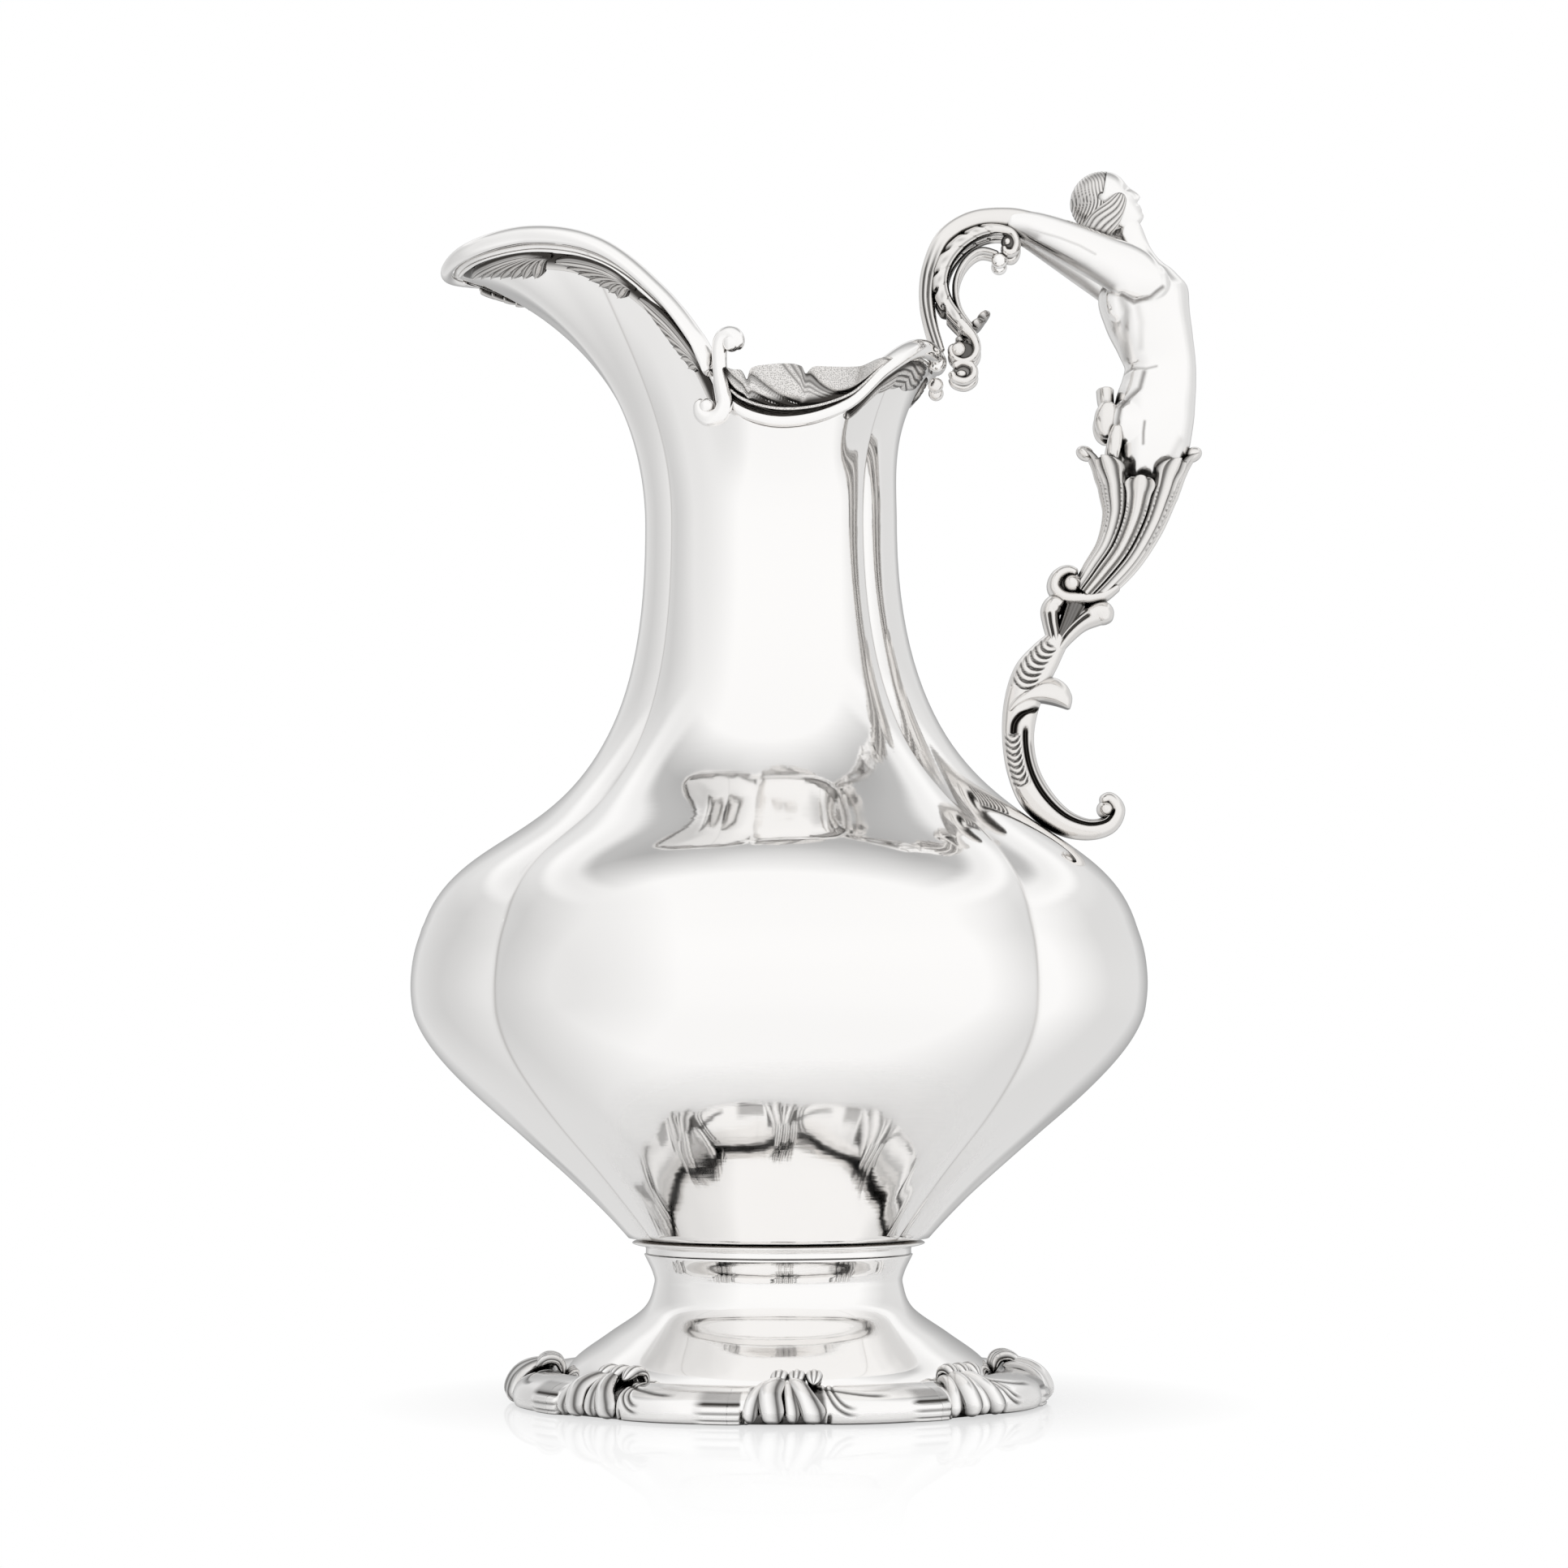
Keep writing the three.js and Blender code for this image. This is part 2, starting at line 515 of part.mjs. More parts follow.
// Knop: two trumpet curls and a waist between the lower scroll and the cup
function knop(grow) {
  const curls = [[7, 55.2, 3], [16.2, 53.8, 3.9]].map(([reach, rise, radius]) =>
    ball(onHandle(reach, rise), radius * HANDLE_SCALE, grow, [1, 1.5, 0.9]));
  const waist = bar(drawn([[6.4, 55.6, 4.4, 2.2], [11.4, 57, 4.8, 2.8], [16, 54.6, 4.4, 2.4]]), 8, 5, grow);
  return joined([waist, ...curls]);
}

// Rolled leaf end under the cup, its axis across the handle
const roll = (grow) => bar(drawn([
  [10.6, 62.6, 2.4, 2.4, -ROLL_LENGTH / 2],
  [10.6, 62.6, 3.6, 3.6, -ROLL_LENGTH / 4],
  [10.6, 62.6, 3.6, 3.6, ROLL_LENGTH / 4],
  [10.6, 62.6, 2.4, 2.4, ROLL_LENGTH / 2],
]), 8, 5, grow, UP);

// Calyx: a fluted horn that tapers down and in to the knop, with petals turned out round its mouth
const PETAL_LENGTH = 0.14; // share of the horn that the petals take up

function calyx(grow) {
  const leafy = (turn, t) => {
    const flute = 0.06 * Math.cos(CALYX_PETALS * turn) * (1 - 0.5 * t);
    const open = Math.max(0, 1 - t / PETAL_LENGTH) ** 2;
    return 1 + flute + PETAL_FLARE * open * (0.5 + 0.5 * Math.cos(CALYX_PETALS * turn));
  };
  return bar(drawn([
    [29.6, 96.4, 10.6, 10.6],
    [29.4, 90.4, 10.5, 10.4],
    [28.7, 85, 9.9, 9.6],
    [26.9, 78, 8.4, 8],
    [23.7, 70.2, 7.1, 6.6],
    [18.7, 63.9, 5.9, 5.6],
    [13.5, 58.4, 4.5, 4],
  ]), 24, 12, grow, ACROSS, leafy);
}

// Torso of the figure, from the tongue inside the calyx to the base of the neck
const torso = (grow) => bar(drawn([
  [29.9, 89.1, 3.4, 3],
  [30.3, 94.8, 7.6, 7.4],
  [31.2, 101.1, 9.8, 10],
  [32.5, 107.4, 9.8, 10.6],
  [33.8, 113.7, 8.6, 9.8],
  [34.2, 118.9, 8.2, 9.4],
  [32.8, 125.2, 9.6, 10.4],
  [31, 131.5, 11, 11.4],
  [30, 137.8, 11.4, 11.6],
  [29.8, 142.8, 8.8, 8.6],
  [29.6, 147, 4.4, 4.6],
  [26.8, 154.4, 3.8, 3.8],
]), 12, 18, grow);

// Head of the figure, thrown back: skull, jaw and gathered hair
function head(grow) {
  const tilt = degrees(-38);
  const skull = 8.6 * HANDLE_SCALE;
  return joined([
    ball(onHandle(20.8, 162.4), skull, grow, [1, 0.86, 0.98], tilt),
    ball(onHandle(25.6, 159.6), skull * 0.78, grow, [0.9, 0.8, 1], tilt),
    ball(onHandle(14.2, 160.6), skull * 0.54, grow, [0.85, 1.1, 0.95], tilt),
  ]);
}

// Near arm, swept back from the shoulder to the top of the upper scroll
const arm = (grow) => bar(drawn([
  [34, 135.4, 2, 2.6, -SHOULDER_SPREAD],
  [31.6, 137.6, 4, 5, -SHOULDER_SPREAD],
  [27.3, 140.8, 4, 6.5, -SHOULDER_SPREAD],
  [19.5, 145.4, 3.6, 5.9, -SHOULDER_SPREAD * 0.85],
  [10.3, 150.7, 3.2, 5, -SHOULDER_SPREAD * 0.62],
  [3.2, 154.4, 2.8, 4, -SHOULDER_SPREAD * 0.45],
  [-3.9, 157.1, 2.3, 2.6, -STRAND_SPREAD],
]), 8, 9, grow);

// Near strand of the upper scroll, from the hand down to the back of the rim
const strand = (grow) => bar(drawn([
  [-3.5, 157.1, 2.3, 2.6, -STRAND_SPREAD],
  [-13.3, 156.5, 2.2, 2.5, -STRAND_SPREAD],
  [-20.7, 152, 2.1, 2.3, -STRAND_SPREAD],
  [-24.9, 143.7, 2.1, 2.3, -STRAND_SPREAD],
  [-26.1, 135.7, 2.1, 2.1, -STRAND_SPREAD],
  [-25.1, 129.4, 1.9, 1.9, -STRAND_SPREAD * 1.2],
  [-22.2, 121.5, 1.7, 1.7, -STRAND_SPREAD * 1.7],
]), 6, 20, grow);

// Acanthus leaf along the hollow of the near strand, curled at both ends
const handleLeaf = (grow) => bar(drawn([
  [-6.4, 147.9, 1.6, 1, -STRAND_SPREAD],
  [-4.7, 150.4, 2, 1.2, -STRAND_SPREAD],
  [-7, 152.6, 2.2, 1.4, -STRAND_SPREAD],
  [-13.3, 151.6, 2.4, 2, -STRAND_SPREAD],
  [-18.9, 147.2, 2.4, 2.2, -STRAND_SPREAD],
  [-21.6, 140.6, 2.4, 2.2, -STRAND_SPREAD],
  [-21.8, 134, 2.4, 2.2, -STRAND_SPREAD],
  [-19.2, 128.4, 2.2, 2, -STRAND_SPREAD * 1.2],
  [-15.6, 124.2, 2, 1.6, -STRAND_SPREAD * 1.4],
  [-16.1, 120.6, 1.9, 1.3, -STRAND_SPREAD * 1.4],
  [-18.6, 121, 1.8, 1.1, -STRAND_SPREAD * 1.4],
]), 6, 18, grow);

const pearl = (grow) => ball(onHandle(-7.2, 146, -STRAND_SPREAD), PEARL_RADIUS, grow);

// Small leaf spur behind the foot of the upper scroll
const spur = (grow) => bar(drawn([
  [-20.5, 126.2, 2.4, 1.2],
  [-16.5, 129.6, 2.4, 1.5],
  [-11.2, 132.8, 1.2, 0.7],
]), 8, 6, grow);

// Leaves laid round the back of the hips, above the calyx
const hipLeaves = (grow) => joined([
  bar(drawn([[25, 98.6, 7, 4], [21.6, 101, 8.4, 4], [20.4, 107, 7, 3.4], [19.4, 113, 4, 2.2]]), 8, 7, grow),
  ball(onHandle(18.4, 112.6), 2.4 * HANDLE_SCALE, grow, [1, 1.4, 1]),
  ball(onHandle(18.6, 103), 2.8 * HANDLE_SCALE, grow, [1, 1.7, 1.1]),
]);

// Back of the rim: plain boss on the edge of the body that both strands and beads run into
const seatBoss = (grow) => bar(drawn([
  [-23.6, 119.4, 2.4, 2.2, -1.4 * STRAND_SPREAD],
  [-23.2, 120, 3, 2.6],
  [-23.6, 119.4, 2.4, 2.2, 1.4 * STRAND_SPREAD],
]), 8, 6, grow, UP);

const mirrored = (make) => (grow) => {
  const geometry = geometryOf(make(grow));
  geometry.scale(1, -1, 1);
  return solid(geometry);
};

// Clearance that is the same on both sides, whichever way the facets are split
const even = (make) => (grow) => make(grow).add(mirrored(make)(grow));

const jug = new THREE.Group();

function addPiece(name, geometry, finish) {
  const piece = new THREE.Mesh(geometry, new THREE.MeshStandardMaterial(finish));
  piece.name = name;
  jug.add(piece);
  return piece;
}

// Near piece and its mirror image on the far side
function addPair(name, made, finish) {
  const geometry = geometryOf(made);
  addPiece(`${name}_near`, geometry, finish);
  addPiece(`${name}_far`, geometry, finish).scale.y = -1;
}

addPiece("body", geometryOf(body(0)), SILVER);
addPiece("collar", geometryOf(collar()), SILVER);
addPiece("pedestal", geometryOf(pedestal()), SILVER);

const unitGeometry = geometryOf(borderUnit());
for (let i = 0; i < BORDER_UNITS; i += 1) {
  const unit = addPiece(`foot_border_${i + 1}`, unitGeometry, OXIDISED);
  unit.rotation.z = (i - 0.16) * UNIT_ANGLE;
}

addPiece("spout_rim", geometryOf(seated(spoutRim, body, even(rimScroll))), SILVER);
addPair("rim_scroll", seated(rimScroll, even(body)), SILVER);
addPair("side_rim", seated(sideRim, even(body), rimScroll), SILVER);
addPair("spout_leaf", seated(spoutLeaf, even(body), even(spoutRim), rimScroll), OXIDISED);
addPair("side_shell", seated(sideShell, rimScroll, sideRim), OXIDISED);
addPair("rear_leaf", seated(rearLeaf, even(body), sideRim), OXIDISED);

addPiece("handle_seat", geometryOf(seated(seatBoss, body, even(sideRim))), SILVER);
addPiece("lower_scroll", geometryOf(seated(lowerScroll, body)), SILVER);
addPiece("lower_leaf", geometryOf(seated(lowerLeaf, lowerScroll)), OXIDISED);
addPiece("knop", geometryOf(seated(knop, lowerScroll)), OXIDISED);
addPiece("calyx_roll", geometryOf(seated(roll, knop, lowerScroll)), OXIDISED);
addPiece("calyx", geometryOf(seated(calyx, knop, lowerScroll, roll)), OXIDISED);
addPiece("figure_torso", geometryOf(seated(torso, calyx)), SILVER);
addPiece("hip_leaves", geometryOf(seated(hipLeaves, torso, calyx)), OXIDISED);
addPair("figure_arm", seated(arm, even(torso)), SILVER);
addPiece("figure_head", geometryOf(seated(head, torso, even(arm))), SILVER);
addPair("handle_strand", seated(strand, arm, even(seatBoss), sideRim), SILVER);
addPair("handle_leaf", seated(handleLeaf, strand, arm, even(seatBoss), sideRim), OXIDISED);
addPair("handle_pearl", seated(pearl, handleLeaf, arm), SILVER);
addPiece("handle_spur", geometryOf(seated(spur, even(strand), even(handleLeaf))), OXIDISED);

// The origin lies under the middle of the jug's outer size
const reach = new THREE.Box3().setFromObject(jug);
jug.position.set(-(reach.min.x + reach.max.x) / 2, -(reach.min.y + reach.max.y) / 2, 0);

export default jug;
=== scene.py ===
from math import cos, exp, hypot, inf, log, pi, radians, sin, sqrt, tau

import bmesh
import bpy
from mathutils import Matrix, Vector


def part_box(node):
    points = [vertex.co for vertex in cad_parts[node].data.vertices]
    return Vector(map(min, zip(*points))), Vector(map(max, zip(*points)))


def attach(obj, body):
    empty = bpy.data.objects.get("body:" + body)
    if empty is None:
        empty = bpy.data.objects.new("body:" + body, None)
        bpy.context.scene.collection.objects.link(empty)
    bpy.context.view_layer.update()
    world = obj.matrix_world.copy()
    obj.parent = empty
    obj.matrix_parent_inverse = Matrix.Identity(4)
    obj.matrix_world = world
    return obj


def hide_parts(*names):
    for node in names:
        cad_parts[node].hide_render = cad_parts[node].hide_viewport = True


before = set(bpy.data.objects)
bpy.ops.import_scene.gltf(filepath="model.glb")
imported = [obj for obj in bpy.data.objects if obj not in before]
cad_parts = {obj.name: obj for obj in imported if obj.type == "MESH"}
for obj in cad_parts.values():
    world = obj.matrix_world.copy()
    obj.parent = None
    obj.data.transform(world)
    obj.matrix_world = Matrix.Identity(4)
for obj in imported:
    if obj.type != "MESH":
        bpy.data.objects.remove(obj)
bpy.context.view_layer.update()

# Silver jug: a lobed body on a spool foot, with a cast border, rim and figural handle.
# Shapes are drawn in millimetres about the axis of the body, with the spout at -X, the handle at +X
# and the near side at -Y, and are put in place in metres when a mesh is made.

MM = 0.001
foot_low, foot_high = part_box("pedestal")
AXIS_X = (foot_low.x + foot_high.x) / 2

# Main sizes
JUG_HEIGHT = 320
FOOT_RADIUS = 69.6
BELLY_RADIUS = 95.6
NECK_RADIUS = 32.9
SPOUT_REACH = 51

# Foot
BORDER_WIDTH = 13
BORDER_HEIGHT = 8.8
BORDER_UNITS = 8
WAIST_RADIUS = 32
PEDESTAL_HEIGHT = JUG_HEIGHT * 0.117
WAIST_HEIGHT = PEDESTAL_HEIGHT * 0.79
PEDESTAL_LIP = 34.5
COLLAR_RADIUS = 37.6
COLLAR_HEIGHT = 3.6
SEAM = 0.3
WALL = 1
FLANGE_RADIUS = FOOT_RADIUS - 3
FLANGE_HEIGHT = 1.4
BORDER_INNER = FOOT_RADIUS - BORDER_WIDTH

# Body and mouth
BASE_RADIUS = 38.7
NECK_LEAN = 2
LOBE_DEPTH = 0.07
BODY_SEAT = PEDESTAL_HEIGHT + COLLAR_HEIGHT + 2 * SEAM
BELLY_HEIGHT = JUG_HEIGHT * 0.3327
NECK_HEIGHT = JUG_HEIGHT * 0.7053
BACK_RISE = JUG_HEIGHT * 0.1313
BACK_FLARE = 9
DIP_RISE = JUG_HEIGHT * 0.061
DIP_FLARE = 6.5
SPOUT_RISE = JUG_HEIGHT * 0.2115
SPOUT_BEAD = 2.7

# Handle
SEAT_PLACE = 1.485

UP = Vector((0, 0, 1))
ACROSS = Vector((0, 1, 0))


def mix(a, b, t):
    return a + (b - a) * t


def clamp(value, low=0.0, high=1.0):
    return min(max(value, low), high)


def ease(low, high, value):
    t = clamp((value - low) / (high - low))
    return t * t * (3 - 2 * t)


def bump(at, centre, width):
    return exp(-(((at - centre) / width) ** 2))


def along(stations, place):
    """Smooth values between stations, each a place followed by its values."""
    found = 0
    while found < len(stations) - 2 and place >= stations[found + 1][0]:
        found += 1
    a, b = stations[found], stations[found + 1]
    before = stations[found - 1] if found else a
    after = stations[found + 2] if found + 2 < len(stations) else b
    span = b[0] - a[0]
    t = clamp((place - a[0]) / span)
    values = []
    for i in range(1, len(a)):
        slope_a = (b[i] - before[i]) / (b[0] - before[0]) * span
        slope_b = (after[i] - a[i]) / (after[0] - a[0]) * span
        rise = b[i] - a[i]
        bend = slope_a + slope_b - 2 * rise
        values.append(a[i] + t * (slope_a + t * (rise - slope_a - bend + t * bend)))
    return values


def bezier(a, b, c, d, t):
    s = 1 - t
    return a * (s * s * s) + b * (3 * s * s * t) + c * (3 * s * t * t) + d * (t * t * t)


# Body: place runs from 0 at the collar through 1 at the belly and 2 at the neck to 3 at the edge of the mouth

CREASE_ANGLES = [(0, 56), (1, 48), (2, 54), (3, 54)]
LOBE_SHARES = [(0, 0.6), (1, 1), (2, 1.1), (3, 1.1)]
LEANS = [(0, 0), (1, 0), (1.25, -0.26), (1.5, -0.6), (1.75, 0.3), (2, 1), (3, 1)]
BACK_EDGE = [
    # degrees from the handle, share of the way from back to dip outwards and upwards, flare in degrees
    (0, 0, 0, 35), (28, 0, 0.06, 35), (45, 0.4, 0.37, 33), (60, 0.7, 0.8, 31), (80, 1, 1, 30),
]
SPOUT_EDGE = [
    # the same from dip to spout
    (97, 0, 0.05, 28), (106, 0.01, 0.2, 26), (113, 0.04, 0.415, 24), (125, 0.13, 0.68, 22),
    (140, 0.31, 0.935, 26), (155, 0.57, 1.045, 40), (168, 0.87, 1.03, 60), (180, 1, 1, 78),
]


def edge_stations(rows, flares, rises):
    """Rows of degrees from the handle, radius, rise above the neck and flare in degrees."""
    stations = []
    for angle, out, up, flare in rows:
        stations.append((angle, NECK_RADIUS + mix(*flares, out), mix(*rises, up), flare))
    return stations


EDGE = [
    *edge_stations(BACK_EDGE, (BACK_FLARE, DIP_FLARE), (BACK_RISE, DIP_RISE)),
    *edge_stations(SPOUT_EDGE, (DIP_FLARE, SPOUT_REACH), (DIP_RISE, SPOUT_RISE)),
]
WHOLE_EDGE = [(-EDGE[1][0], *EDGE[1][1:]), *EDGE, (360 - EDGE[-2][0], *EDGE[-2][1:])]
# Where the curves from collar to belly and from belly to neck are pulled to, as shares of their heights
BASE_PULLS = (0.42, 0.675)
SHOULDER_PULLS = (0.43, 0.19)
# How far the skin between neck and edge keeps the direction of each, in chords
NECK_PULL = 0.33
LIP_PULL = 0.45


def outward(theta):
    return Vector((cos(theta), sin(theta), 0))


def from_handle(theta):
    """Angle from the handle in degrees, the same on both sides."""
    turned = theta % tau
    return (tau - turned if turned > pi else turned) * 180 / pi


def edge_point(theta):
    radius, rise, _ = along(WHOLE_EDGE, from_handle(theta))
    return outward(theta) * radius + Vector((-NECK_LEAN, 0, NECK_HEIGHT + rise))


def edge_flare(theta):
    flare = radians(along(WHOLE_EDGE, from_handle(theta))[2])
    return outward(theta) * sin(flare) + UP * cos(flare)


def crease_share(theta, place):
    """How far an angle lies from the crest of its lobe, from 0 to 1 at the crease."""
    crease = along(CREASE_ANGLES, place)[0]
    from_side = min(from_handle(theta), 180 - from_handle(theta))
    if from_side < 90 - crease:
        return from_side / (90 - crease)
    return (90 - from_side) / crease


def profile_point(theta, place):
    if place > 1:
        t = min(place, 2) - 1
        low, high, pulls = BELLY_HEIGHT, NECK_HEIGHT, SHOULDER_PULLS
        radius = bezier(BELLY_RADIUS, BELLY_RADIUS, NECK_RADIUS, NECK_RADIUS, t)
    else:
        t = place
        low, high, pulls = BODY_SEAT, BELLY_HEIGHT, BASE_PULLS
        pulled = mix(BASE_RADIUS, BELLY_RADIUS, pulls[0])
        radius = bezier(BASE_RADIUS, pulled, BELLY_RADIUS, BELLY_RADIUS, t)
    height = bezier(low, mix(low, high, pulls[0]), mix(low, high, pulls[1]), high, t)
    depth = LOBE_DEPTH * along(LOBE_SHARES, place)[0]
    radius *= 1 - depth * crease_share(theta, place) ** 2
    lean = NECK_LEAN * along(LEANS, place)[0]
    return outward(theta) * radius + Vector((-lean, 0, height))


def body_point(theta, place):
    if place <= 2:
        return profile_point(theta, place)
    foot = profile_point(theta, 2)
    edge = edge_point(theta)
    chord = (edge - foot).length
    above_foot = foot + UP * chord * NECK_PULL
    below_lip = edge - edge_flare(theta) * chord * LIP_PULL
    return bezier(foot, above_foot, below_lip, edge, place - 2)


def body_normal(theta, place):
    step = 1e-3
    up = body_point(theta, min(place + step, 3)) - body_point(theta, max(place - step, 0))
    around = body_point(theta + step, place) - body_point(theta - step, place)
    return around.cross(up).normalized()


# Mesh making

def new_work():
    bm = bmesh.new()
    # Darkness of each vertex: oxide in chased hollows, and painted shade along creases and in shading strokes
    bm.verts.layers.float.new("hollow")
    return bm


def finish_piece(bm, name, finish, nodes):
    """Object from a bmesh drawn in millimetres about the body's axis, riding on the jug for its nodes."""
    bmesh.ops.remove_doubles(bm, verts=bm.verts, dist=1e-4)
    bmesh.ops.recalc_face_normals(bm, faces=bm.faces)
    bmesh.ops.scale(bm, verts=bm.verts, vec=Vector((MM, MM, MM)))
    bmesh.ops.translate(bm, verts=bm.verts, vec=Vector((AXIS_X, 0, 0)))
    mesh = bpy.data.meshes.new(name)
    bm.to_mesh(mesh)
    bm.free()
    mesh.shade_smooth()
    mesh.materials.append(finish)
    piece = bpy.data.objects.new(name, mesh)
    bpy.context.scene.collection.objects.link(piece)
    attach(piece, "root")
    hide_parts(*nodes)


def make_pair(name, build, finish, node):
    """Piece on the near side and its mirror image on the far side."""
    for side, sign in (("near", 1), ("far", -1)):
        bm = new_work()
        build(bm)
        bmesh.ops.scale(bm, verts=bm.verts, vec=Vector((1, sign, 1)))
        finish_piece(bm, f"{name}_{side}", finish, [f"{node}_{side}"])


def make_single(name, build, finish, node):
    bm = new_work()
    build(bm)
    finish_piece(bm, name, finish, [node])


def add_grid(bm, columns, rows, place):
    """Grid of quads: place(u, v), with both from 0 to 1, gives a vertex and how dark it is, for oxide in
    hollows and for painted shade.
    """
    hollow = bm.verts.layers.float["hollow"]
    made = bmesh.ops.create_grid(bm, x_segments=columns, y_segments=rows, size=0.5)
    for vert in made["verts"]:
        point, depth = place(vert.co.x + 0.5, vert.co.y + 0.5)
        vert.co = point
        vert[hollow] = depth


def add_loft(bm, columns, rows, ring):
    """Closed loft: ring(t, turn) gives a point and how dark it is there, and both ends are closed flat."""
    def middle(t):
        points = [ring(t, tau * i / 12)[0] for i in range(12)]
        return sum(points, Vector()) / 12

    ends = {0: middle(0), rows + 2: middle(1)}

    def place(u, v):
        row = round(v * (rows + 2))
        if row in ends:
            return ends[row], 0
        return ring((row - 1) / rows, round(u * columns) % columns / columns * tau)

    add_grid(bm, columns, rows + 2, place)


def round_section(t, turn):
    return cos(turn), sin(turn), 0


def add_sweep(bm, rows, columns, steps, section=round_section, side=ACROSS, normal=None, blunt=0.0):
    """Bar swept along rows of (x, y, z, half width to the side, half width outwards).

    section(t, turn) gives the shape of a unit section and how dark it is there. With normal(t) the outward
    direction follows a surface. Blunt is the share of the length that each end takes to round off.
    """
    lengths = [0]
    for a, b in zip(rows, rows[1:]):
        lengths.append(lengths[-1] + (Vector(b[:3]) - Vector(a[:3])).length)
    stations = [(length / lengths[-1], *row) for length, row in zip(lengths, rows)]
    known = {}

    def standing(t):
        if t not in known:
            x, y, z, across, deep = along(stations, t)
            before = along(stations, max(t - 0.003, 0))
            after = along(stations, min(t + 0.003, 1))
            ahead = (Vector(after[:3]) - Vector(before[:3])).normalized()
            wide = normal(t).cross(ahead) if normal else side - ahead * side.dot(ahead)
            wide.normalize()
            end = min(t, 1 - t)
            share = sqrt(max(1 - (1 - end / blunt) ** 2, 0.02)) if end < blunt else 1
            known[t] = Vector((x, y, z)), wide * across * share, ahead.cross(wide) * deep * share
        return known[t]

    def ring(t, turn):
        middle, wide, out = standing(t)
        a, b, hollow = section(t, turn)
        return middle + wide * a + out * b, hollow

    add_loft(bm, columns, steps, ring)


def add_ball(bm, centre, radii, tilt=0.0, dark=0.0):
    hollow = bm.verts.layers.float["hollow"]
    made = bmesh.ops.create_uvsphere(bm, u_segments=28, v_segments=18, radius=1)
    for vert in made["verts"]:
        x, y, z = vert.co.x * radii[0], vert.co.y * radii[1], vert.co.z * radii[2]
        vert.co = centre + Vector((x * cos(tilt) - z * sin(tilt), y, x * sin(tilt) + z * cos(tilt)))
        vert[hollow] = dark


def add_turned(bm, outline, steps):
    """Ring spun from a closed outline of (radius, height) points."""
    verts = [bm.verts.new((radius, 0, height)) for radius, height in outline]
    edges = [bm.edges.new((verts[i - 1], verts[i])) for i in range(len(verts))]
    bmesh.ops.spin(
        bm, geom=verts + edges, cent=(0, 0, 0), axis=(0, 0, 1), angle=tau, steps=steps, use_merge=True)


def smooth_outline(points, count):
    """Even points on a smooth curve through the given ones."""
    stations = [(i, *point) for i, point in enumerate(points)]
    last = len(points) - 1
    return [tuple(along(stations, last * i / count)) for i in range(count + 1)]


def fused(bm, voxel, rounds):
    """One smooth skin round overlapping closed bodies."""
    mesh = bpy.data.meshes.new("fusing")
    bm.to_mesh(mesh)
    bm.free()
    holder = bpy.data.objects.new("fusing", mesh)
    bpy.context.scene.collection.objects.link(holder)
    remesh = holder.modifiers.new("skin", "REMESH")
    remesh.mode = "VOXEL"
    remesh.voxel_size = voxel
    skin = bmesh.new()
    skin.from_object(holder, bpy.context.evaluated_depsgraph_get())
    bpy.data.objects.remove(holder)
    bpy.data.meshes.remove(mesh)
    for _ in range(rounds):
        bmesh.ops.smooth_vert(
            skin, verts=skin.verts, factor=0.5, use_axis_x=True, use_axis_y=True, use_axis_z=True)
    return skin


def ridge(phase):
    """Rounded ridges with sharp valleys, one for each whole step of the phase, from 0 to 1."""
    return sqrt(abs(cos(pi * phase)))


def is_under(turn):
    """True on the underside of a section."""
    return sin(turn) < -1e-6


# Body

CROWDING = 1.7


def facet_angle(u, place):
    """Angle of a column, with the columns crowded towards the creases."""
    crease = along(CREASE_ANGLES, place)[0]
    lobe = int(u * 4) % 4
    across = (u * 4) % 1 * 2 - 1
    crowded = (1 - (1 - abs(across)) ** CROWDING) * (1 if across >= 0 else -1)
    half = 90 - crease if lobe % 2 == 0 else crease
    return radians(lobe * 90 + crowded * half)


BODY_COLUMNS = 208
OUTER_ROWS = 150
INNER_ROWS = 70
INNER_LOW = 0.04
BELLY_EASE = 0.14
BELLY_FILL = 1.02
UNEVENNESS = 0.16
CREASE_SHADE = 0.35


def outer_skin(u, level):
    """Outside of the body, eased off and filled out at the belly, and uneven low down, as raised by hand."""
    theta = facet_angle(u, level)
    shift = BELLY_EASE * bump(level, 1, 0.35)
    around = body_point(theta, level - shift) + body_point(theta, level + shift)
    wave = sin(17 * theta + 3 * level) * cos(12 * level) + 0.7 * sin(31 * theta - 5 * level)
    swell = body_normal(theta, level) * (UNEVENNESS * wave * bump(level, 0.3, 0.22))
    fill = outward(theta) * (BELLY_FILL * bump(level, 1, 0.3))
    crease = bump(crease_share(theta, level), 1, 0.01)
    return (body_point(theta, level) + around) / 3 + swell + fill, CREASE_SHADE * crease


def inner_skin(u, level):
    theta = facet_angle(u, level)
    return body_point(theta, level) - body_normal(theta, level) * WALL, 0


def add_body(bm):
    rows = OUTER_ROWS + INNER_ROWS + 2

    def place(u, v):
        row = round(v * rows)
        if row == 0:
            return Vector((0, 0, BODY_SEAT)), 0
        if row == rows:
            return Vector((0, 0, BODY_SEAT + WALL)), 0
        if row <= OUTER_ROWS:
            return outer_skin(u, 3 * (row - 1) / (OUTER_ROWS - 1))
        return inner_skin(u, max(3 * (1 - (row - OUTER_ROWS - 1) / INNER_ROWS), INNER_LOW))

    add_grid(bm, BODY_COLUMNS, rows, place)


# Foot

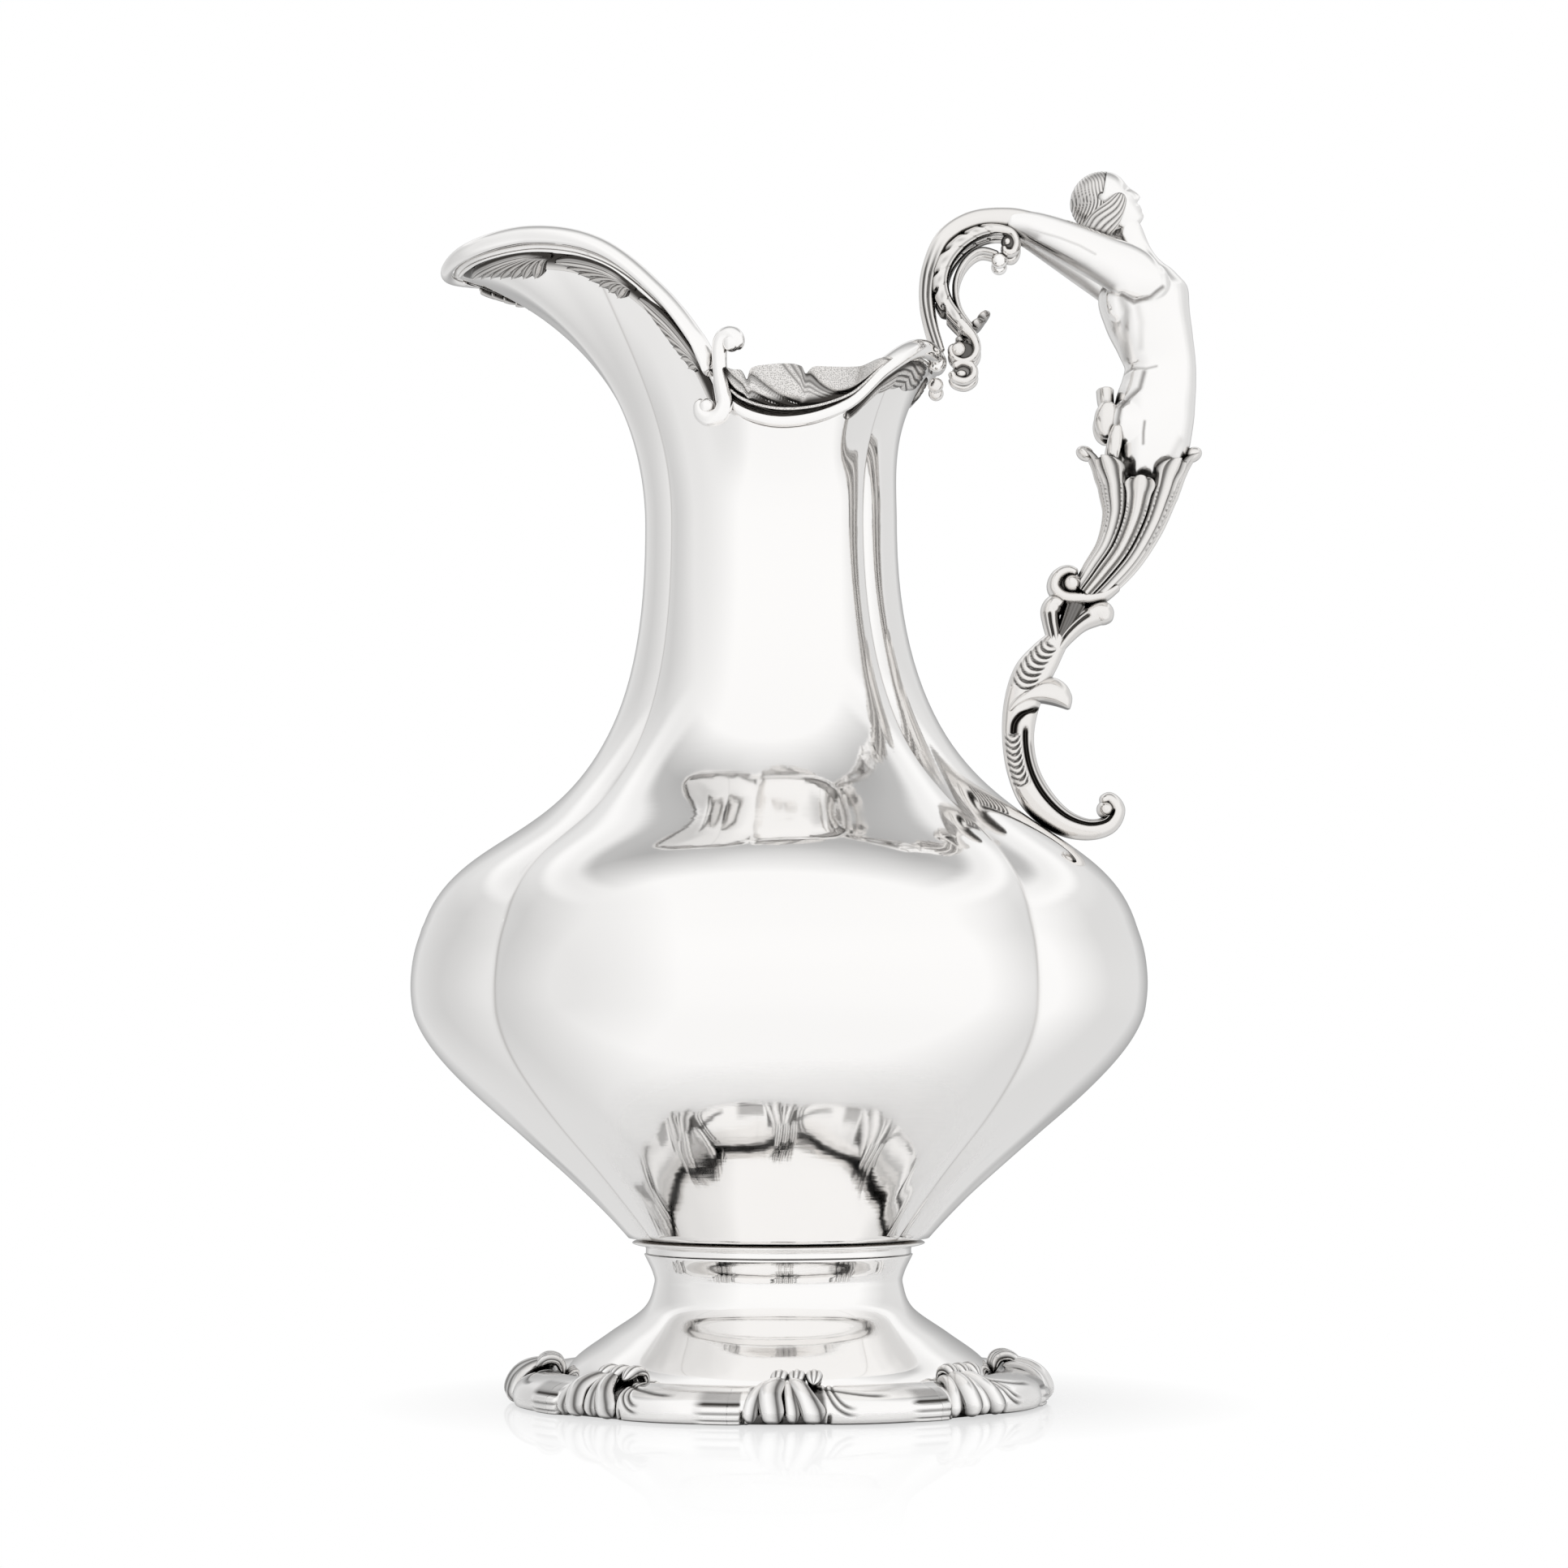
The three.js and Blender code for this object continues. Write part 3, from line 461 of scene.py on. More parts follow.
def add_collar(bm):
    low = PEDESTAL_HEIGHT + SEAM
    inner = PEDESTAL_LIP - 3 * WALL
    outer = smooth_outline([
        (PEDESTAL_LIP - 0.4, low),
        (PEDESTAL_LIP - 0.2, low + COLLAR_HEIGHT * 0.45),
        (COLLAR_RADIUS - 1, low + COLLAR_HEIGHT * 0.6),
        (COLLAR_RADIUS, low + COLLAR_HEIGHT * 0.72),
        (COLLAR_RADIUS - 0.6, low + COLLAR_HEIGHT * 0.86),
        (COLLAR_RADIUS - 2.4, low + COLLAR_HEIGHT),
    ], 24)
    add_turned(bm, [(inner, low), *outer, (inner, low + COLLAR_HEIGHT)], 160)


def add_pedestal(bm):
    outer = smooth_outline([
        (PEDESTAL_LIP, PEDESTAL_HEIGHT),
        (WAIST_RADIUS + 0.3, mix(WAIST_HEIGHT, PEDESTAL_HEIGHT, 0.4)),
        (WAIST_RADIUS, WAIST_HEIGHT),
        (WAIST_RADIUS + 2.6, WAIST_HEIGHT * 0.8),
        (mix(WAIST_RADIUS, BORDER_INNER, 0.47), WAIST_HEIGHT * 0.585),
        (mix(WAIST_RADIUS, BORDER_INNER, 0.82), mix(FLANGE_HEIGHT, WAIST_HEIGHT, 0.34)),
        (BORDER_INNER - SEAM, FLANGE_HEIGHT + 3),
    ], 60)
    inner = [(radius - WALL * 2, height) for radius, height in outer][::-1]
    flange = [
        (BORDER_INNER - SEAM, FLANGE_HEIGHT),
        (FLANGE_RADIUS - 4, FLANGE_HEIGHT),
        (FLANGE_RADIUS - 4, 0),
        (BORDER_INNER - 2 * WALL, 0),
    ]
    add_turned(bm, [*outer, *flange, *inner], 192)


# One casting of the foot border: a leafy clasp with three ribbed buds above and four toes below, a long
# smooth cushion with a leaf line and a curl on it, and a ribbed tongue. A place in it is a share of the
# casting's angle, a share of the border's width and a share of its height.

UNIT_ANGLE = tau / BORDER_UNITS
UNIT_SHIFT = 0.16
BORDER_LOW = 0.2
CUSHION_WIDTHS = [(0, 0.94), (0.06, 0.9), (0.12, 0.8), (0.22, 0.76), (0.38, 0.78), (0.47, 0.87), (0.56, 0.94),
                  (0.68, 0.97), (0.78, 0.96), (0.86, 0.94), (1, 0.94)]
CUSHION_OUTLINE = [(0, 0), (0.84, 0), (0.99, 0.12), (1.02, 0.42), (0.88, 0.74), (0.52, 0.95), (0.16, 1.0),
                   (0, 0.7)]
CUSHION_POINTS = 72
LEAF_LINE = [(0.38, 5.5), (0.46, 5.0), (0.56, 4.5), (0.66, 4.2), (0.8, 4.1)]


def on_border(share, width, height):
    theta = (share - UNIT_SHIFT) * UNIT_ANGLE
    rise = BORDER_LOW + height * (BORDER_HEIGHT - BORDER_LOW)
    return outward(theta) * (BORDER_INNER + width * BORDER_WIDTH) + UP * rise


def window(value, low, high, soft):
    """1 between two values, falling to 0 over a soft edge outside each."""
    return ease(low - soft, low, value) * (1 - ease(high, high + soft, value))


def cushion_relief(share, level):
    """How far the cushion is sunk, as a share of its section, and how dark it is there."""
    tongue = ease(0.83, 0.9, share) + window(share, -0.1, 0.05, 0.012)
    face = window(level, 1.5, 3.2, 0.25)
    ribs = bump(level, 2.05, 0.1) + bump(level, 2.7, 0.1)
    rim = bump(level, 3.45, 0.14) * tongue
    end = bump(share, 0.066, 0.008) * window(level, 1.3, 2.6, 0.5)
    line = bump(level, along(LEAF_LINE, clamp(share, 0.38, 0.8))[0], 0.13) * window(share, 0.4, 0.68, 0.08)
    drill = bump(share, 0.458, 0.008) * window(level, 1.3, 2.3, 0.5)
    from_curl = hypot((share - 0.57) / 0.13, (level - 4.8) / 2.7)
    curl = (bump(from_curl, 0.62, 0.05) + bump(from_curl, 0.85, 0.05)) * window(share, 0.4, 0.53, 0.06)
    gap = window(share, 0.17, 0.235, 0.015) * window(level, 1.2, 4.9, 0.4)
    under = window(share, 0.1, 0.43, 0.02) * window(level, 1.0, 5.2, 0.4)
    matte = tongue * window(level, 3.6, 4.5, 0.3)
    ribbed = tongue * face * ribs
    sink = 0.06 * ribbed - 0.06 * tongue * face + 0.07 * rim + 0.12 * end + 0.08 * line
    sink += 0.14 * drill + 0.16 * gap + 0.06 * under + 0.08 * curl
    dark = 0.8 * ribbed + rim + end + line + drill + curl + gap + 0.9 * under + 0.5 * matte
    return sink, clamp(dark)


TOES = [
    # rows of share, width, height, half width and thickness, from below a bud down to the ground
    [(0.2, 0.05, 1.04, 1.3, 1.1), (0.16, 0.42, 0.98, 1.7, 1.5), (0.12, 0.7, 0.72, 1.9, 1.8),
     (0.1, 0.82, 0.34, 2.2, 2.0), (0.1, 0.8, 0.06, 1.8, 1.5)],
    [(0.25, 0.1, 1.12, 1.8, 1.3), (0.215, 0.45, 1.06, 2.5, 1.9), (0.19, 0.74, 0.8, 2.9, 2.4),
     (0.2, 0.88, 0.38, 3.0, 2.5), (0.22, 0.82, 0.06, 2.4, 1.7)],
    [(0.27, 0.1, 1.1, 1.3, 1.1), (0.275, 0.42, 1.0, 1.5, 1.5), (0.28, 0.7, 0.7, 1.7, 1.8),
     (0.29, 0.82, 0.34, 2.0, 2.0), (0.295, 0.8, 0.06, 1.7, 1.5)],
    [(0.29, 0.1, 1.14, 1.7, 1.3), (0.32, 0.44, 1.04, 2.2, 1.8), (0.35, 0.72, 0.74, 2.5, 2.2),
     (0.385, 0.84, 0.34, 3.0, 2.2), (0.41, 0.8, 0.06, 2.6, 1.6)],
]
BUDS = [0.22, 0.31, 0.4]
BUD_LEAN = 0.06
BUD_ROWS = [(-0.12, 0.78, 1.2, 0.9), (0.0, 1.2, 2.0, 1.6), (0.2, 1.26, 2.1, 1.7), (0.42, 1.06, 1.6, 1.3)]


def ribbed_section(ribs, depth, shift=0.0):
    def section(t, turn):
        u = cos(turn)
        rib = ridge(u * ribs + shift)
        lift = sin(turn) * (1 - depth + depth * rib) if sin(turn) > 0 else 0.7 * sin(turn)
        return u, lift, clamp((1 - rib) * 1.3) if sin(turn) > 0 else 0.3

    return section


def add_border_unit(bm):
    outline = smooth_outline([*CUSHION_OUTLINE, CUSHION_OUTLINE[0]], CUSHION_POINTS)

    def cushion(t, turn):
        spot = round(turn / tau * CUSHION_POINTS) % CUSHION_POINTS
        width, height = outline[spot]
        sink, dark = cushion_relief(t, spot / CUSHION_POINTS * len(CUSHION_OUTLINE))
        reach = along(CUSHION_WIDTHS, t)[0]
        width = mix(width * reach, 0.35, sink)
        height = mix(height, 0.4, sink)
        return on_border(t, max(width, 0), max(height, 0)), dark

    def tangent(share):
        theta = (share - UNIT_SHIFT) * UNIT_ANGLE
        return Vector((-sin(theta), cos(theta), 0))

    add_loft(bm, CUSHION_POINTS, 240, cushion)
    for toe in TOES:
        rows = [(*on_border(*row[:3]), *row[3:]) for row in toe]
        add_sweep(bm, rows, 40, 48, ribbed_section(0.6, 0.15, 0.2), side=tangent(toe[2][0]), blunt=0.16)
    for bud in BUDS:
        rows = [(*on_border(bud + BUD_LEAN * (0.4 - row[0]), *row[:2]), *row[2:]) for row in BUD_ROWS]
        add_sweep(bm, rows, 56, 40, ribbed_section(1.5, 0.25), side=tangent(bud), blunt=0.25)


def make_foot_border(finish):
    """Castings round the foot, all from one pattern."""
    pattern = new_work()
    add_border_unit(pattern)
    for unit in range(BORDER_UNITS):
        casting = pattern.copy()
        turned = Matrix.Rotation(unit * UNIT_ANGLE, 3, "Z")
        bmesh.ops.rotate(casting, verts=casting.verts, cent=(0, 0, 0), matrix=turned)
        number = unit + 1
        finish_piece(casting, f"foot_casting_{number}", finish, [f"foot_border_{number}"])
    pattern.free()


# Mouth

# Length of the skin between neck and edge, in chords
LIP_LENGTH = 1.35


def place_below(theta, down):
    """Place on the body, some way down from the edge of the mouth."""
    chord = (edge_point(theta) - profile_point(theta, 2)).length
    return 3 - down / (LIP_LENGTH * chord)


def below_edge(angle, down, lift):
    """Point on the outside of the body, some way down from the edge of the mouth and lifted off."""
    theta = radians(angle)
    place = place_below(theta, down)
    return body_point(theta, place) + body_normal(theta, place) * lift


def add_edge_bead(bm, angles, steps, radius_at):
    """Bead that stands on the edge of the mouth between two angles."""
    def ring(t, turn):
        theta = radians(mix(*angles, t))
        flare = edge_flare(theta)
        ahead = (edge_point(theta + 1e-3) - edge_point(theta - 1e-3)).normalized()
        out = ahead.cross(flare).normalized()
        reach = radius_at(t)
        return edge_point(theta) + flare * (reach + SEAM + reach * sin(turn)) + out * (reach * cos(turn)), 0

    add_loft(bm, 24, steps, ring)


SPOUT_ANGLE = 110.5
SIDE_ANGLE = 102.5
SCROLL_ANGLE = radians(-(SPOUT_ANGLE + SIDE_ANGLE) / 2)


def add_bead_line(bm, angles, down, radius):
    """Thin bead along the edge, some way down from it on the outside."""
    rows = [(*below_edge(mix(*angles, i / 40), down, radius * 0.6), radius, radius) for i in range(41)]
    add_sweep(bm, rows, 12, 120, side=UP, blunt=0.01)


def spout_bead(t):
    """Radius of the lip, thinner at the tip of the spout."""
    return SPOUT_BEAD * (0.97 - 0.4 * sin(pi * t) ** 24)


def add_spout_rim(bm):
    add_edge_bead(bm, (SPOUT_ANGLE - 2, 362 - SPOUT_ANGLE), 260, spout_bead)
    for sign in (1, -1):
        add_bead_line(bm, (sign * (SPOUT_ANGLE + 0.5), sign * 178), 1.9, 0.55)


# Sprays under the lip: each is a wing of feathers that spread from a root towards the tip of the spout
SPRAYS = [(-153, -175), (-132.5, -153), (-111, -132)]
FEATHERS = 7
SPRAY_TOP = 2.8
SPRAY_LOW = 10.8
GROUND_ANGLES = (-177, -109)
GROUND_TOP = 2.6
GROUND_LOW = [(0, 5.5), (0.12, 8), (0.6, 8.4), (0.85, 9), (0.94, 13), (1, 15)]
FEATHER_WIDTHS = [(0, 0.3), (0.35, 0.7), (0.75, 1), (1, 0.3)]
FEATHER_STEPS = 12


def add_feather(bm, path, half):
    """Pointed feather laid on the body along (angle, down, lift) places, with a raised rib and fine barbs."""
    stations = [(i / (len(path) - 1), *place) for i, place in enumerate(path)]
    rows = []
    for i in range(FEATHER_STEPS + 1):
        t = i / FEATHER_STEPS
        angle, down, lift = along(stations, t)
        rows.append((*below_edge(angle, down, lift), half * along(FEATHER_WIDTHS, t)[0], 1))

    def facing(t):
        angle, down, _ = along(stations, t)
        theta = radians(angle)
        return body_normal(theta, place_below(theta, down))

    def section(t, turn):
        u = cos(turn)
        if is_under(turn):
            return u, -0.7, 1
        rib = bump(u, 0.3, 0.2)
        hatch = ridge(3 * u + 0.5)
        height = 0.3 + 0.7 * rib + 0.4 * (1 - u * u) - 0.15 * (1 - hatch)
        edges = 1.4 * bump(u, -0.9, 0.3) + bump(u, 0.95, 0.14)
        return u, height, clamp(edges + 1.2 * (1 - hatch) + 0.22 * (1 - rib) + ease(0.3, 0, t))

    add_sweep(bm, rows, 44, 56, section, normal=facing, blunt=0.04)


def add_spout_leaf(bm):
    def ground(t, turn):
        angle = mix(*GROUND_ANGLES, t)
        low = along(GROUND_LOW, t)[0]
        share = 0.5 - 0.5 * cos(turn)
        point = below_edge(angle, mix(GROUND_TOP, low, share), 0.15 + 0.15 * sin(turn))
        return point, 1 - ease(0.45, 0.95, share)

    add_loft(bm, 20, 90, ground)
    for root, tip in SPRAYS:
        for i in range(FEATHERS):
            share = i / (FEATHERS - 1)
            length = mix(0.34, 1.0, share)
            end = mix(root, tip, length)
            low = mix(SPRAY_LOW, SPRAY_TOP + 2.2, share ** 1.5)
            path = [
                (root, SPRAY_TOP + 0.5, 0.3),
                (mix(root, end, 0.35), mix(SPRAY_TOP + 0.2, low, 0.16), 0.5 + 0.08 * i),
                (mix(root, end, 0.72), mix(SPRAY_TOP, low, 0.58), 0.6 + 0.08 * i),
                (end, low, 0.5),
            ]
            add_feather(bm, path, mix(2.1, 1.7, share))


RIM_SCROLL = [
    # right, up, radius of the bar
    (5.0, 9.6, 1.32), (6.0, 10.6, 1.98), (5.6, 12.2, 2.2), (4.1, 12.9, 2.2), (2.3, 12.1, 2.09),
    (1.5, 9.6, 1.98), (1.5, 6, 1.87), (1.8, 2.4, 1.87), (2.4, -1, 1.925), (2.9, -4.3, 2.09),
    (1.7, -7.2, 2.2), (-0.8, -8, 2.2), (-3.1, -6.8, 2.09), (-3.6, -4.6, 1.76), (-2.4, -3.6, 1.32),
]


def add_rim_scroll(bm):
    out = outward(SCROLL_ANGLE)
    seat = edge_point(SCROLL_ANGLE) + out * 2.6
    right = UP.cross(out)
    rows = [(*(seat + right * across + UP * up), size, size) for across, up, size in RIM_SCROLL]
    add_sweep(bm, rows, 20, 150, side=out, blunt=0.03)
    add_ball(bm, seat + right * 4.9 + UP * 10.7 + out * 0.4, (2.3, 2.1, 2.3))
    add_ball(bm, seat - right * 1.8 - UP * 5 + out * 0.4, (2, 2, 2))


SIDE_BEADS = [(0, 1.7), (0.2, 1.6), (0.42, 1.9), (0.6, 2.4), (0.76, 2.5), (0.9, 2.3), (1, 2.0)]


def add_side_rim(bm):
    add_edge_bead(bm, (-SIDE_ANGLE, -6), 160, lambda t: along(SIDE_BEADS, t)[0])


# Shell that stands up from the side bead. Its folds start at the notches of the top edge and sweep down
# towards the handle until they run along the bead.
SHELL_CROWN = [
    # share of its length, height above the bead
    (0, 7), (0.06, 8.6), (0.1, 9.4), (0.125, 7.6), (0.15, 10.6), (0.22, 12.4), (0.33, 13.4), (0.405, 12.6),
    (0.43, 10.6), (0.46, 12), (0.52, 11.6), (0.65, 9.6), (0.8, 6.8), (0.92, 3.6), (1, 0.8),
]
SHELL_ANGLES = (-102, -42)
SHELL_LOW = 3.3
SHELL_FOLDS = [-1.2, -0.75, -0.5, -0.3, -0.14, 0.0, 0.125, 0.43, 1.2]


def above_edge(angle, rise, lift):
    """Point that goes on from the edge of the mouth along its flare, lifted outwards."""
    theta = radians(angle)
    return edge_point(theta) + edge_flare(theta) * rise + outward(theta) * lift


def fold_share(fold):
    """Where a line lies in its fold, from 0 to 1, and how wide the fold is."""
    for low, high in zip(SHELL_FOLDS, SHELL_FOLDS[1:]):
        if fold < high:
            return clamp((fold - low) / (high - low)), high - low
    return 1, 1


def add_side_shell(bm):
    def panel(t, turn):
        angle = mix(*SHELL_ANGLES, t)
        v = 0.5 + 0.5 * cos(turn)
        rise = SHELL_LOW + v * along(SHELL_CROWN, t)[0]
        if is_under(turn):
            return above_edge(angle, rise, -0.8), 0.2
        share, wide = fold_share(t + 0.2 * log(max(v, 0.002)))
        swell = sqrt(max(sin(pi * share ** 0.6), 0))
        curl = 0.9 * v ** 3
        relief = 1.2 * swell * (0.55 + 0.45 * min(wide * 4, 1))
        crease = (1 - min(swell * 1.8, 1)) * (1.9 - 0.5 * v)
        flute = bump(share, 0.6, 0.03) + bump(share, 0.74, 0.04) + bump(share, 0.86, 0.04)
        channel = ease(0.42, 0.26, v) + bump(t, 0.0, 0.02)
        lift = relief + curl - 0.6 - 0.35 * flute - 0.5 * channel
        return above_edge(angle, rise, lift), clamp(crease + 0.7 * flute + channel)

    add_loft(bm, 120, 170, panel)
    rows = [(*above_edge(mix(-101, -46, i / 30), mix(5.3, 4.4, i / 30), 0.5), 0.4, 0.4) for i in range(31)]
    add_sweep(bm, rows, 10, 90, side=UP, blunt=0.02)


# Fan below the rear end of the side bead: its lines run along the bead and turn down beside the handle
FAN_ANGLES = (-58, -12)
FAN_LOW = [(0, 2.8), (0.3, 5.4), (0.55, 8.6), (0.7, 9.4), (0.88, 10.4), (1, 9)]
FAN_LINES = 4.5


def add_rear_leaf(bm):
    def fan(t, turn):
        angle = mix(*FAN_ANGLES, t)
        low = along(FAN_LOW, t)[0]
        low += 0.9 * (ridge(5 * t) - 1) * ease(0.02, 0.2, t)
        share = 0.5 - 0.5 * cos(turn)
        down = mix(0.8, low, share)
        if is_under(turn):
            return below_edge(angle, down, 0), 0.6
        line = 0.5 + 0.5 * cos(tau * FAN_LINES * (share - 0.5 * ease(0.45, 1, t)))
        groove = clamp(1.1 - 2.2 * line)
        dome = 1.3 * sin(turn)
        shade = clamp(0.1 + 0.85 * groove + ease(0.88, 0.97, t) + 0.8 * ease(2.4, 1.4, down))
        return below_edge(angle, down, 0.2 + dome * (1 - 0.3 * groove)), shade

    add_loft(bm, 112, 130, fan)


# Handle: places are drawn in its middle plane from the lower seat and fitted between both seats.
# In the drawing, the upper seat lies nearer the axis than the lower by the lean, and above it by the rise.
DRAWN_LEAN = 24.8
DRAWN_RISE = 118.6
LOWER = body_point(0, SEAT_PLACE)
UPPER = edge_point(0)
HANDLE_SCALE = (UPPER.z - LOWER.z) / DRAWN_RISE


def on_handle(reach, rise, spread=0.0):
    lean = rise / DRAWN_RISE * (UPPER.x - LOWER.x + DRAWN_LEAN * HANDLE_SCALE)
    return Vector((LOWER.x + reach * HANDLE_SCALE + lean, spread, LOWER.z + rise * HANDLE_SCALE))


def drawn(rows, spread=0.0):
    """Rows of a sweep from (reach, rise, half width across, half width in plane, its own spread if any)."""
    swept = []
    for reach, rise, across, deep, *own in rows:
        place = on_handle(reach, rise, own[0] if own else spread)
        swept.append((*place, across * HANDLE_SCALE, deep * HANDLE_SCALE))
    return swept


def add_handle_seat(bm):
    add_sweep(bm, drawn([
        (-23.6, 119.4, 2.4, 2.2, -4.5), (-23.2, 120, 3, 2.6, 0), (-23.6, 119.4, 2.4, 2.2, 4.5),
    ]), 20, 24, side=UP, blunt=0.15)


# Lower scroll: two bands with a groove between them, with overlapping crescents down its outer edge, and a
# hooked groove under the hood
CRESCENTS = [
    # path shares, how many, middle and half width across the bar
    (0.06, 0.225, 7, -0.2, 0.55), (0.38, 0.54, 8, -0.35, 0.42),
]
HOOK_LINE = [(0.27, 1.0), (0.29, 0.62), (0.308, 0.15), (0.338, -0.22), (0.372, -0.3)]


def scroll_section(t, turn):
    b = sin(turn)
    groove = window(t, 0.37, 0.9, 0.03) * bump(b, 0.45, 0.14)
    hook = window(t, 0.275, 0.37, 0.008) * bump(b, along(HOOK_LINE, clamp(t, 0.27, 0.372))[0], 0.2)
    thin_line = window(t, 0.42, 0.86, 0.03) * bump(b, 0.78, 0.06)
    scale = 0
    edge = 0
    for low, high, count, middle, half in CRESCENTS:
        within = window(t, low, high, 0.008) * window(b, middle - half, middle + half, 0.1)
        phase = (count * (t - low) / (high - low) + 0.75 * ((b - middle) / half) ** 2) % 1
        scale += within * phase
        edge += within * (bump(phase, 0, 0.16) + bump(phase, 1, 0.1))
    sink = 0.42 * groove + 0.4 * hook + 0.14 * thin_line - 0.2 * scale + 0.16 * edge
    return cos(turn) * (1 - sink), b, clamp(groove * 1.4 + hook * 1.4 + edge * 1.2 + thin_line * 0.7)


def add_lower_scroll(bm):
    add_sweep(bm, drawn([
        (7.6, 49, 3.4, 2.6), (5.6, 46.4, 4, 3.3), (3.1, 43.2, 4.6, 4.2), (-0.4, 38.1, 5, 5),
        (-3.2, 30.7, 4.9, 4.6), (-4.3, 22.3, 4.9, 4.1), (-3.3, 13.9, 5.2, 4.1), (-0.1, 6.6, 5.6, 4.3),
        (6, 0.7, 5.6, 3.6), (12.8, -1.6, 5, 2.8), (18.4, -0.4, 4.6, 2.4), (20.6, 3.4, 4.4, 2.1),
        (18.7, 6.2, 4.2, 1.8), (16.2, 5.2, 4, 1.3),
    ]), 96, 280, scroll_section, blunt=0.015)
    add_ball(bm, on_handle(17.7, 3.5), (2.4, 5.2, 2.4))


def hood_section(t, turn):
    b = sin(turn)
    if b < 0:
        return cos(turn), b * 0.3, ease(-0.6, -0.95, b)
    return cos(turn), b, 0


def add_lower_leaf(bm):
    add_sweep(bm, drawn([
        (-6.6, 28.4, 4.4, 0.9), (-4.4, 30.4, 5.6, 2.2), (-1.2, 32, 6, 3.6), (2, 32.5, 6, 5),
        (4, 32.3, 5.9, 5.4), (5.8, 31.7, 5.6, 4.9), (7.4, 30.8, 4.8, 3.6), (8.6, 29.9, 3.6, 2),
        (9.2, 29.5, 2, 0.8),
    ]), 52, 80, hood_section, blunt=0.03)


def trumpet_section(t, turn):
    b = sin(turn)
    groove = window(t, 0.05, 0.62, 0.06) * (bump(b, 0.1, 0.16) + 0.6 * bump(b, 0.62, 0.1))
    return cos(turn) * (1 - 0.3 * groove), b, clamp(groove * 1.3)


def core_section(t, turn):
    fold = ridge(3 * sin(turn))
    return cos(turn) * (0.85 + 0.15 * fold), sin(turn), mix(1, 0.8, fold)


KNOP_CORE = [(5.2, 44, 3, 1), (9, 51, 4, 2.4), (12, 57.6, 4, 3.6)]
TRUMPETS = [
    [(5.8, 44.2, 3.6, 1.4), (5.4, 48.4, 4.4, 2), (4.8, 52, 5, 2.3),
     (4.8, 55, 5.4, 2.6), (6.2, 56.6, 5.4, 2.5), (7.8, 55.4, 4.8, 1.6)],
    [(6, 44.4, 3.4, 1.4), (9, 48.4, 4.4, 2), (12.2, 51.4, 5, 2.3),
     (15.4, 53.4, 5.4, 2.9), (18, 54.2, 5.5, 3.1), (18.4, 51.2, 4.6, 1.8)],
]


def add_knop(bm):
    add_sweep(bm, drawn(KNOP_CORE), 48, 24, core_section, blunt=0.1)
    for rows in TRUMPETS:
        add_sweep(bm, drawn(rows), 52, 90, trumpet_section, blunt=0.06)
    add_ball(bm, on_handle(5.5, 55.6), (2.5, 5.6, 2.6))
    add_ball(bm, on_handle(17.2, 54), (2.9, 5.7, 2.9))


def add_calyx_roll(bm):
    add_ball(bm, on_handle(9.6, 61.6), (3.4, 4, 3.2), dark=0.9)
    add_sweep(bm, drawn([
        (22.6, 61.2, 3.4, 1), (17.5, 58.4, 4.6, 1.9), (12.3, 57.9, 5, 2.1), (8, 58.4, 5.2, 2.1),
        (5.9, 60.8, 5.2, 2), (6.8, 63.6, 5.2, 1.9), (9.4, 65, 5, 1.7), (12, 64.2, 4.8, 1.3),
    ]), 36, 90, blunt=0.03)
    add_ball(bm, on_handle(10.4, 61.7), (2.9, 6, 2.9))


# Calyx: strap leaves laid round a horn. The leaves at its sides are the longest and turn out, and those in
# front and behind are shorter, so that the figure shows above them.
HORN = [
    # reach, rise, half width across, half width in plane
    (28.8, 96.4, 10.6, 11.4), (28.4, 90.4, 10.4, 10.6), (27.9, 85, 9.6, 9), (26.5, 78, 8, 7),
    (23, 70.2, 6.6, 5.5), (18.2, 63.9, 5.5, 4.6), (13.8, 58.8, 4.2, 3.4),
]
CALYX_PETALS = 8
HORN_STATIONS = [(i / (len(HORN) - 1), *row) for i, row in enumerate(HORN)]
# Where a petal starts on the horn and how far its tip turns out, from in front to the sides
PETALS = [(0.25, 1.4), (0.09, 1.8), (0.0, 2.8)]


def on_horn(t, turn, lift):
    """Point lifted off the horn, and the direction along it."""
    reach, rise, across, deep = along(HORN_STATIONS, clamp(t))
    a = on_handle(*along(HORN_STATIONS, clamp(t - 0.01))[:2])
    b = on_handle(*along(HORN_STATIONS, clamp(t + 0.01))[:2])
    ahead = (b - a).normalized()
    radial = ACROSS * cos(turn) * (across + lift) + ahead.cross(ACROSS) * sin(turn) * (deep + lift)
    return on_handle(reach, rise) + radial * HANDLE_SCALE, ahead


def horn_core(t, turn):
    start = mix(0.5, 0.3, abs(sin(turn)))
    return on_horn(mix(start, 1, t), turn, -1.6 if t < 0.03 else -0.4)[0], 1


